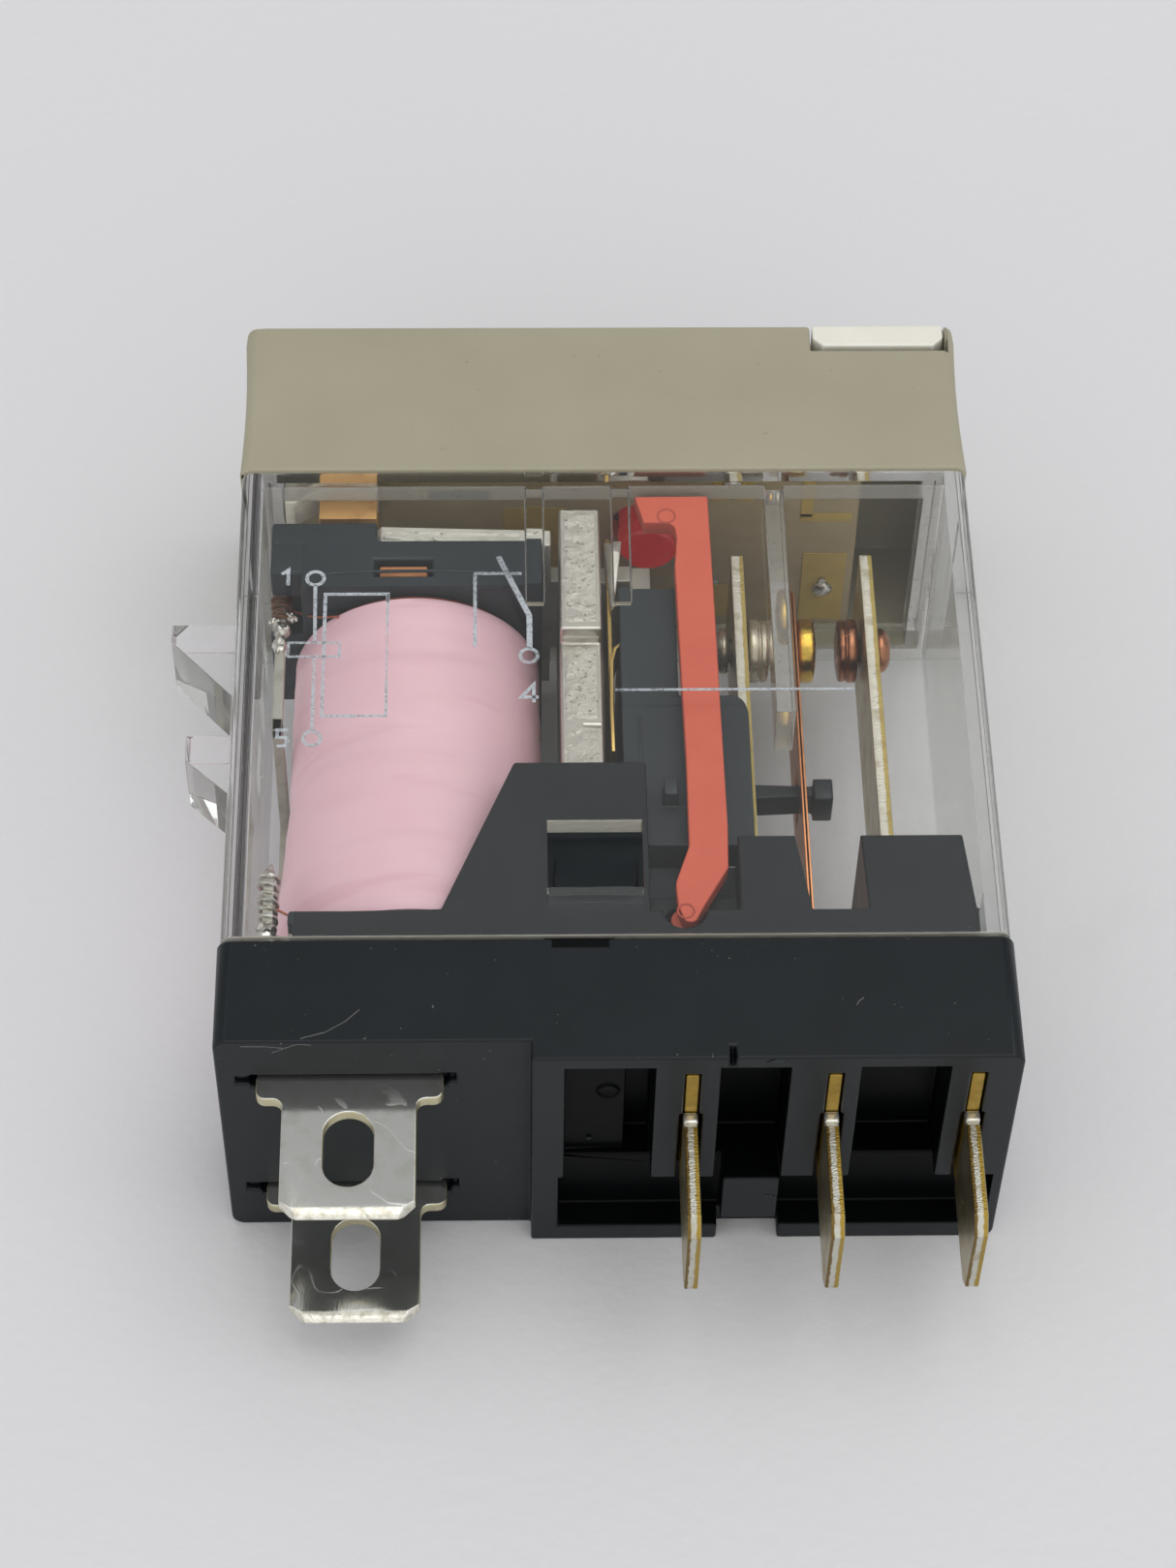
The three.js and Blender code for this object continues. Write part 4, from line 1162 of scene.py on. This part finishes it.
def makeLever():
    d = leverLook
    low, high = box("indicator_lever")
    shape = fromCad("indicator_lever")
    shape = roundedAlong(shape, 2, d["lowCorner"], lambda p: p.z > high.z - 0.5 and p.y < low.y + 3)
    shape = roundedAlong(shape, 2, d["highCorner"], lambda p: p.z > high.z - 0.5 and p.y > high.y - 3)
    # painted shade: the lever's side faces take a darker orange than its top; the same darker orange draws the
    # moulding marks
    paintFaces(shape, 1, lambda normal, middle: abs(normal.z) < 0.5)
    addPiece("lever_moulding", shape, [leverOrange, leverShadeAndMarks], ["indicator_lever"],
             d["edge"], 3,
             body="indicator")
    rings = []
    for right, up, radius in d["marks"]:  # up is from the lever's foot, or from its top when it is negative
        x, y = low.x + right, (high.y if up < 0 else low.y) + up
        circle = [(x + radius * math.cos(a), y + radius * math.sin(a), high.z - 0.015) for a in
                  [2 * math.pi * i / 32 for i in range(33)]]
        rings.append(wire(circle, 0.05, 6))
    addPiece("lever_marks", together(*rings), [leverShadeAndMarks], body="indicator")


makeArmature()
makeCard()
makeLever()
print("moving magnet parts made")


contactLook = {
    "round": 0.16, "crown": 0.1, "slices": 56, "strip": 0.8, "tail": 0.6, "gap": 0.12,
    "neck": 0.45,
}
cutSilver = paint(196, 195, 184)
cutBrass = paint(164, 138, 60)
skinBrass = paint(112, 90, 42)


def movingProfile(low, high, radius):
    # two heads on either side of the moving spring
    leaf = box("moving_spring")
    crown, gap, neck = (contactLook[k] for k in ("crown", "gap", "neck"))
    left, right = leaf[0].x - gap, leaf[1].x + gap
    return [(0, low.x), (radius * 0.55, low.x + crown * 0.4), (radius, low.x + crown * 1.4), (radius, left),
            (neck, left), (neck, right), (radius, right), (radius, high.x - crown * 1.4),
            (radius * 0.55, high.x - crown * 0.4), (0, high.x)]


def rivetProfile(tailEnd, faceEnd, radius):
    # a tail, a neck through the strip, and a head with a groove behind its face
    d = contactLook
    away = 1 if faceEnd > tailEnd else -1
    middle = tailEnd + away * (d["tail"] + d["strip"] / 2)
    back, front = middle - away * d["strip"] / 2, middle + away * d["strip"] / 2
    groove = (faceEnd + middle) / 2
    return [(0, tailEnd), (0.62, tailEnd + away * 0.06), (0.9, tailEnd + away * 0.3), (0.9, back),
            (d["neck"], back),
            (d["neck"], front), (radius, front), (radius, groove + away * 0.12),
            (radius - 0.1, groove + away * 0.2),
            (radius - 0.02, groove + away * 0.3), (radius - 0.04, faceEnd - away * d["crown"] * 1.4),
            (radius * 0.55, faceEnd - away * d["crown"] * 0.4), (0, faceEnd)]


def makeContact(node, name, finish, body="housing"):
    low, high = box(node)
    radius = (high.y - low.y) / 2
    if node == "moving_contact":
        profile = movingProfile(low, high, radius)
    else:
        ends = (low.x, high.x) if node == "nc_contact" else (high.x, low.x)
        profile = rivetProfile(*ends, radius)
    shape = turned(softened(profile, contactLook["round"]), "x", (low + high) / 2, contactLook["slices"])
    addPiece(name, shape, [finish], [node], angle=60, body=body)


springLook = {
    "edge": 0.015, "leaves": ((-0.1, -0.03, 0.0), (0.03, 0.1, 0.45)), "corner": 0.7,
    "pegHole": (14.1, 16.0, 0.9),
}


def makeMovingSpring():
    low, high = box("moving_spring")
    mid = (low.x + high.x) / 2
    half = (high.z - low.z) / 2
    corner = springLook["corner"]
    y0, y1, reach = springLook["pegHole"]
    leaves = []
    for left, right, shorter in springLook["leaves"]:
        top = high.y - shorter
        outline = [
            (low.y, middleZ - half), (top - corner, middleZ - half), (top, middleZ - half + corner),
            (top, middleZ + half - corner), (top - corner, middleZ + half), (low.y, middleZ + half)]
        hole = slab((mid + left - 1, seat + y0, middleZ - reach),
                    (mid + right + 1, seat + y1, middleZ + reach))
        leaves.append(carved(extruded(outline, "yz", mid + left, mid + right), hole))
    addPiece("moving_leaves", together(*leaves), [springCopper], ["moving_spring"],
             springLook["edge"],
             body="moving_contact_arm")


bladeLook = {
    "edge": 0.05, "neck": 0.9, "neckLevels": (-1.2, -0.85, 1.7, 1.9),
    "root": (0.24, -0.66, 0.6, 1.7, 4.95),  # half width, two levels along the blade, two above the middle
    # painted highlight: the small bright slab just outside the seating face: half width and two levels along
    # the blade
    "step": (0.26, -1.05, -0.45),
}


def neckedBlade(node):
    # a contact terminal with its narrower root where the blade leaves the base
    shape = fromCad(node)
    first, second, third, last = bladeLook["neckLevels"]
    for level in (first, second, third, last):
        cutAcross(shape, seat + level)
    for vert in shape.verts:
        if seat + second - 0.02 < vert.co.y < seat + third + 0.02:
            vert.co.z = middleZ + (vert.co.z - middleZ) * bladeLook["neck"]
    return shape


def makeContactTerminal(node, name, holder, fromEnd):
    # holder is the node beside the strip's upper end, fromEnd the way from its box to the strip's middle
    d = bladeLook
    centre = bladeCentre(node)
    shape = neckedBlade(node)
    low, high = box(holder)
    stripMiddle = {1: low.x + 1.0, -1: high.x - 1.0}.get(fromEnd, centre)
    tornFace = shearedEdge(name + "Edge", skinBrass, cutSilver, cutBrass, centre)
    stripEdge = shearedEdge(name + "Strip", paint(214, 208, 190), paint(220, 216, 200), paint(186, 164, 92),
                            stripMiddle, 0.5, 0.35)

    def tipOrFront(normal, middle):
        return (abs(normal.z) > 0.6 or normal.y < -0.6) and middle.y < seat - 0.6

    def shoulder(normal, middle):
        return (normal.z > 0.3 or normal.y < -0.5) and seat - 1.21 < middle.y < seat + 0.3

    paintFaces(shape, 1, tipOrFront)
    paintFaces(shape, 2, lambda normal, middle: seat - 0.2 < middle.y < seat + 3)
    paintFaces(shape, 3, lambda normal, middle: abs(normal.z) > 0.6 and middle.y > seat + 3)
    # painted highlight: the shoulder faces that face up or forward take the bright steel finish as a gleam
    # where the blade leaves the base
    paintFaces(shape, 4, shoulder)
    finishes = [plated, tornFace, goldRoot, stripEdge, steelBright]
    addPiece(name, shape, finishes, [node], d["edge"], 3)
    half, y0, y1, z0, z1 = d["root"]
    root = slab((centre - half, seat + y0, middleZ + z0), (centre + half, seat + y1, middleZ + z1))
    addPiece(name + "_root", root, [goldRoot], (), 0.05)
    # painted highlight: a small slab in the brightest finish just outside the seating face stands for a glint
    # at the blade's top
    half, y0, y1 = d["step"]
    top = max(v.co.z for v in frame["nodes"][node].data.vertices if v.co.y < (seat - 1) * mm) / mm
    step = slab((centre - half, seat + y0, top - 0.5), (centre + half, seat + y1, top + 0.06))
    addPiece(name + "_painted_glint", step, [paintedHighlightMetal], (), 0.09, 3)


coilBlade = {
    "half": 2.4, "shoulderHalf": 3.35, "thick": 0.5, "corner": 0.6, "shoulderLow": -0.9, "shoulderHigh": 0.3,
    "eyelet": 0.9, "eyeletTop": -1.45, "eyeletLow": -4.5, "post": 0.4, "postFoot": (2.2, 3.6),
    "chamfer": 0.2, "chamferSlope": 0.16, "edge": 0.05,
}


def chamferTip(shape, tipY):
    width = coilBlade["chamfer"]
    edges = [edge for edge in shape.edges if all(abs(v.co.y - tipY) < 0.02 for v in edge.verts)
             and abs(edge.verts[0].co.z - edge.verts[1].co.z) < 0.01]
    bmesh.ops.bevel(
        shape, geom=edges, offset=width, segments=1, profile=0.5, affect="EDGES", clamp_overlap=False)
    top = max(v.co.z for v in shape.verts)
    for vert in shape.verts:
        if abs(vert.co.y - tipY - width) < 0.03 and top - vert.co.z < 0.02:
            vert.co.y += coilBlade["chamferSlope"]


def makeCoilTerminal(side, tip):
    node, name = "coil_terminal_" + side, "coil_blade_" + side
    d = coilBlade
    low, high = box(node)
    x0, x1 = tip.x - d["half"], tip.x + d["half"]
    z0, z1 = tip.z - d["thick"] / 2, tip.z + d["thick"] / 2
    shoulder = (seat + d["shoulderLow"], seat + d["shoulderHigh"])
    foot = [seat + y for y in d["postFoot"]]
    outline = [
        (x0 + d["corner"], tip.y), (x1 - d["corner"], tip.y), (x1, tip.y + d["corner"]), (x1, shoulder[0]),
        (tip.x + d["shoulderHalf"], shoulder[0]), (tip.x + d["shoulderHalf"], shoulder[1]), (x1, shoulder[1]),
        (x1, foot[1]), (low.x + d["post"] + 0.6, foot[1]), (x0, foot[0]), (x0, shoulder[1]),
        (tip.x - d["shoulderHalf"], shoulder[1]), (tip.x - d["shoulderHalf"], shoulder[0]), (x0, shoulder[0]),
        (x0, tip.y + d["corner"])]
    plate = extruded(outline, "xy", z0, z1)
    chamferTip(plate, tip.y)
    roundedAlong(plate, 2, 0.34, lambda p: seat - 1.5 < p.y < seat + 0.6)
    r = d["eyelet"]
    slot = []
    for level, start in ((seat + d["eyeletTop"] - r, 0), (seat + d["eyeletLow"] + r, 180)):
        slot += [(tip.x + r * math.cos(a), level + r * math.sin(a)) for a in
                 [math.radians(start + 12 * i) for i in range(16)]]
    plate = carved(plate, extruded(slot, "xy", tip.z - 2, tip.z + 2))
    bright = shearedEdge(name + "Edge", skinBrass, cutSilver, paint(204, 197, 164), low.x - 5)
    paintFaces(plate, 1, lambda normal, middle: abs(normal.z) < 0.8 and middle.y < seat + 0.5)
    # painted highlight: the tip chamfer takes the brightest finish
    paintFaces(plate, 2, lambda normal, middle: (
        -0.4 < normal.z < 0.97 and normal.y < -0.2 and middle.y < tip.y + 0.5))
    addPiece(name, plate, [tinned, bright, paintedHighlightMetal], [node], d["edge"], 3)

    left, right = x0 - 0.95, x0 - 0.55
    posts = [slab((left, foot[0], z0), (x0 + 0.5, foot[1], z1))]
    if side == "upper":
        posts.append(slab((left, foot[0], z0), (right, high.y - 1.5, z1)))
    else:
        # this post crosses to the other side of the coil, where its lead is wound
        wrap = (box("lead_wrap_upper")[0].z + box("lead_wrap_upper")[1].z) / 2
        bend = (seat + 16.2, seat + 16.8)
        posts += [
            slab((left, foot[0], z0), (right, bend[1], z1)),
            slab((left, bend[0], z0), (right, bend[1], wrap + 0.25)),
            slab((left, bend[0], wrap - 0.25), (right, high.y, wrap + 0.25))]
    addPiece(name + "_post", together(*posts), [postTin], (), 0.05)


makeContact("moving_contact", "moving_pair", contactGold, "moving_contact_arm")
makeContact("nc_contact", "upper_rivet", contactPale)
makeContact("no_contact", "lower_rivet", contactDark)
makeMovingSpring()
makeContactTerminal("nc_terminal", "nc_stamping", "nc_contact", 1)
makeContactTerminal("com_terminal", "com_stamping", "moving_spring", 0)
makeContactTerminal("no_terminal", "no_stamping", "no_contact", -1)
makeCoilTerminal("upper", upperTip)
makeCoilTerminal("lower", lowerTip)
print("contacts and terminals made")


leadLook = {
    "wire": 0.07, "turnsUpper": 11.5, "turnsLower": 9.5, "tinnedWire": 0.09, "thread": 0.05,
    "dropsUpper": [  # place, size, seed and dents of each drop of solder
        ((0.05, -0.5, 0.15), (0.33, 0.3, 0.33), 2, 0.6), ((-0.25, -0.2, 0.3), (0.2, 0.16, 0.2), 4, 0.7),
        ((0.4, 0.05, 0.25), (0.2, 0.18, 0.2), 6, 0.7), ((0, -1.3, 0.15), (0.28, 0.55, 0.3), 7, 0.4)],
    "dropsLower": [
        ((-0.05, 0.9, 0.2), (0.32, 0.4, 0.3), 14, 0.5), ((0.05, -0.1, 0.1), (0.3, 0.4, 0.3), 16, 0.5)],
}


def solderDrops(drops, centre, level):
    return [lump((centre[0] + x, level + y, centre[1] + z), size, seed, dents)
            for (x, y, z), size, seed, dents in drops]


def sagging(start, end, steps, fall, swell=0.0):
    # a thread that hangs between two points
    path = []
    for i in range(steps + 1):
        sag = math.sin(math.pi * i / steps)
        path.append(Vector(start).lerp(Vector(end), i / steps) + Vector((0, -fall * sag, swell * sag)))
    return wire(path, leadLook["thread"])


def makeLeads():
    d = leadLook
    coilLow, coilHigh = box("coil_winding")
    coil = (coilLow + coilHigh) / 2
    low, high = box("lead_wrap_upper")
    x, z = (low.x + high.x) / 2, (low.z + high.z) / 2
    brown = wire(helix((x, z), low.y, high.y, 0.32, d["turnsUpper"], 0.08), d["wire"])
    second = wire(helix((x, z), low.y + 0.6, high.y - 0.5, 0.38, d["turnsUpper"] * 0.5, 0.12), d["wire"])
    tail = wire([(x - 0.1, high.y - 0.1, z + 0.3), (x, high.y + 0.3, z + 0.2), (x + 0.08, high.y + 0.5, z)],
                [0.08, 0.07, 0.04])
    addPiece("wound_lead", together(brown, second, tail), [wireBrown], ["lead_wrap_upper"])
    addPiece("solder_upper", together(*solderDrops(d["dropsUpper"], (x, z), low.y)), [solderBright])
    thread = sagging((x + 0.45, low.y + 0.5, z + 0.1), (coil.x - 3.0, coilHigh.y - 0.35, coil.z + 3.9), 14,
                     0.25, 0.12)
    addPiece("lead_to_coil", thread, [wireCopper])

    low, high = box("lead_wrap_lower")
    x, z = (low.x + high.x) / 2, (low.z + high.z) / 2
    low.y, high.y = low.y - 2.1, high.y - 1.1
    silver = wire(helix((x, z), low.y, high.y, 0.33, d["turnsLower"], 0.1), d["tinnedWire"])
    addPiece("soldered_lead", silver, [solderBright], ["lead_wrap_lower"])
    top = lump((x, high.y + 0.1, z), (0.22, 0.45, 0.26), 12, 0.5)
    drops = together(top, *solderDrops(d["dropsLower"], (x, z), low.y))
    addPiece("solder_lower", drops, [solderBright])
    thread = sagging((x + 0.3, low.y + 2.0, z), (coil.x - 3.3, coilLow.y + 0.15, coil.z + 3.2), 10, 0.2)
    addPiece("lead_from_coil", thread, [wireCopper])


boardLook = {"edge": 0.05, "track": 0.04, "slot": (5.9, 8.4, -1.25, -0.8)}


def makeBoard():
    low, high = box("led_board")
    left, right, z0, z1 = boardLook["slot"]
    slot = slab((low.x + left, low.y - 1, high.z + z0), (low.x + right, high.y + 1, high.z + z1))
    addPiece("board_plate", carved(fromCad("led_board"), slot), [boardBrown], ["led_board"],
             boardLook["edge"])
    x0, x1, z0, z1 = low.x, high.x, low.z, high.z
    tracks = [
        ((x1 - 2.35, z1 - 3.2), (x1 - 1.85, z1 - 0.6)),
        ((x1 - 2.35, z1 - 3.5), (x1 - 0.25, z1 - 3.0)),
        ((x1 - 2.1, z0 + 0.3), (x1 - 0.3, z0 + 4.6)),
        ((x1 - 6.0, z1 - 2.2), (x1 - 4.3, z1 - 0.9)),
        ((x1 - 7.0, z0 + 0.6), (x1 - 4.6, z0 + 2.6)),
        ((x0 + 1.8, z0 + 0.8), (x0 + 3.9, z1 - 1.8)),
        ((x0 + 8.9, z0 + 0.8), (x0 + 11.4, z1 - 2.6)),
    ]
    strips = [slab((a[0], low.y - boardLook["track"], a[1]), (b[0], low.y + 0.01, b[1])) for a, b in tracks]
    addPiece("board_tracks", together(*strips), [trackOlive], (), 0.02)
    spots = ((x1 - 1.2, z0 + 2.4), (x1 - 5.2, z1 - 1.6), (x0 + 2.9, z0 + 3), (x0 + 10, z0 + 3))
    joints = [lump((x, low.y - 0.05, z), (0.42, 0.28, 0.42), x, 0.15) for x, z in spots]
    addPiece("board_solder", together(*joints), [solderBright])


def makeLed():
    low, high = box("led")
    low.y += 0.5
    radius = (high.x - low.x) / 2
    dome = [(radius * 0.96 * math.cos(a), high.y - radius * 0.9 + radius * 0.9 * math.sin(a)) for a in
            [math.radians(9 * i) for i in range(10)]]
    profile = [(0, low.y), (radius * 0.9, low.y), (radius, low.y + 0.15), (radius, low.y + 0.9),
               (radius * 0.96, low.y + 1.0), *dome, (0, high.y)]
    addPiece("led_bulb", turned(profile, "y", (low + high) / 2, 40), [lensRed], ["led"], angle=50)


resistorLook = {
    "ends": 1.0, "waist": 0.86, "bands": (0.1, 0.42, 0.58, 0.9), "finish": resistorPaint,
    "band": bandPaint,
}
diodeLook = {"ends": 0.94, "waist": 1.0, "bands": (0.85,), "finish": diodePaint, "band": lampClear}


def makeBoardPart(node, name, look):
    low, high = box(node)
    centre = (low + high) / 2
    radius = (high.y - low.y) / 2
    ends, waist = radius * look["ends"], radius * look["waist"]
    length = high.x - low.x
    steps = [(0, 0), (ends, 0), (ends, 0.2), (waist, 0.3), (waist, 0.7), (ends, 0.8), (ends, 1), (0, 1)]
    profile = softened([(r, low.x + share * length) for r, share in steps], 0.2)
    addPiece(name, turned(profile, "x", centre, 32), [look["finish"]], [node], angle=60)
    rings = []
    for share in look["bands"]:
        at = low.x + share * length
        r = (waist if 0.3 < share < 0.7 else ends) + 0.012
        ring = [(r - 0.1, at - 0.12), (r, at - 0.12), (r, at + 0.12), (r - 0.1, at + 0.12)]
        rings.append(turned(ring, "x", centre, 32, True))
    addPiece(name + "_bands", together(*rings), [look["band"]])
    foot = box("led_board")[0].y - 0.2
    legs = []
    for end, way in ((low.x, -1), (high.x, 1)):
        bend = [(-0.1, centre.y), (0.35, centre.y), (0.55, centre.y - 0.12), (0.62, centre.y - 0.4),
                (0.62, foot)]
        legs.append(wire([(end + way * out, y, centre.z) for out, y in bend], 0.14, 10))
    addPiece(name + "_legs", together(*legs), [tinned])


clipLook = {"edge": 0.05, "leaf": 0.14, "leafEdge": 0.03}


def makeClips():
    for side in ("front", "back"):
        node = "board_clip_" + side
        addPiece("clip_" + side, fromCad(node), [clipBronze], [node], clipLook["edge"])
    low, high = box("board_clip_front")
    soft = clipLook["leafEdge"]
    dot = slab((low.x + 1.15, low.y + 0.95, high.z - 0.05), (low.x + 1.4, low.y + 1.25, high.z + 0.06))
    addPiece("clip_pip", dot, [steelBright], (), soft)
    path = [(low.x - 1.35, low.y + 0.75), (low.x - 1.0, low.y + 0.7), (low.x - 0.55, low.y + 1.05),
            (low.x, low.y + 1.45), (low.x + 0.5, low.y + 1.5), (high.x, low.y + 1.42)]
    leaf = extruded(thickLine(path, clipLook["leaf"]), "xy", high.z - 1.2, high.z + 0.22)
    path = [(low.x - 1.4, high.y + 0.02), (low.x - 0.9, high.y - 0.12), (low.x - 0.4, high.y + 0.02),
            (high.x, high.y + 0.02)]
    upper = extruded(thickLine(path, clipLook["leaf"]), "xy", high.z - 1.2, high.z + 0.1)
    addPiece("clip_leaves", together(leaf, upper), [leafPale], (), soft)
    bar = slab((low.x + 0.05, high.y + 0.12, high.z - 1.4), (high.x, high.y + 0.26, high.z + 0.15))
    addPiece("clip_bar", bar, [springBronze], (), soft)


makeLeads()
makeBoard()
makeLed()
makeBoardPart("led_resistor", "resistor_body", resistorLook)
makeBoardPart("led_diode", "diode_body", diodeLook)
makeClips()
print("leads and board made")


printLook = {"line": 0.14, "fine": 0.112, "faint": 0.098, "bold": 0.22, "thick": 0.012, "ring": 0.33}
# the circuit symbol: circles, then open and closed lines, each with its width; y is from the seating face
printCircles = [(-11.25, 21.2), (-11.2, 13.45), (-3.05, 17.35)]
printLines = [
    ("line", False, [(-11.25, 20.87), (-11.2, 18.02)]),
    ("fine", True, [(-12.2, 18.02), (-10.25, 18.02), (-10.25, 17.35), (-12.2, 17.35)]),
    ("line", False, [(-11.2, 17.35), (-11.2, 13.8)]),
    ("line", False, [(-8.45, 20.0), (-8.45, 20.4), (-10.85, 20.4), (-10.85, 14.5), (-9.6, 14.5)]),
    ("faint", False, [(-8.45, 20.4), (-8.45, 14.5), (-9.6, 14.5)]),
    ("line", False, [(-3.3, 21.4), (-5.1, 21.4), (-5.1, 17.8)]),
    ("bold", False, [(-4.2, 22.25), (-3.02, 19.3), (-3.02, 17.7)]),
    ("fine", False, [(0.2, 15.68), (9.2, 15.68)]),
    # figures 1, 5 and 4 beside the terminals that they number
    ("line", False, [(-12.55, 21.4), (-12.3, 21.62), (-12.3, 20.85)]),
    ("line", False, [(-12.1, 13.85), (-12.5, 13.85), (-12.5, 13.5), (-12.2, 13.5), (-12.1, 13.35),
                     (-12.2, 13.1),
                     (-12.5, 13.1)]),
    ("line", False, [(-2.88, 15.1), (-2.88, 15.95), (-3.35, 15.35), (-2.7, 15.35)]),
]


def makePrinting():
    d = printLook
    level = caseHigh.z + 0.002
    shapes = []
    for x, y in printCircles:
        circle = [(x + d["ring"] * math.cos(a), seat + y + d["ring"] * math.sin(a)) for a in
                  [2 * math.pi * i / 28 for i in range(28)]]
        shapes.append(ribbon(circle, d["line"], level, d["thick"], True))
    for width, closed, points in printLines:
        shapes.append(ribbon([(x, seat + y) for x, y in points], d[width], level, d["thick"], closed))
    addPiece("case_printing", together(*shapes), [ink])


makePrinting()
print("printing made")
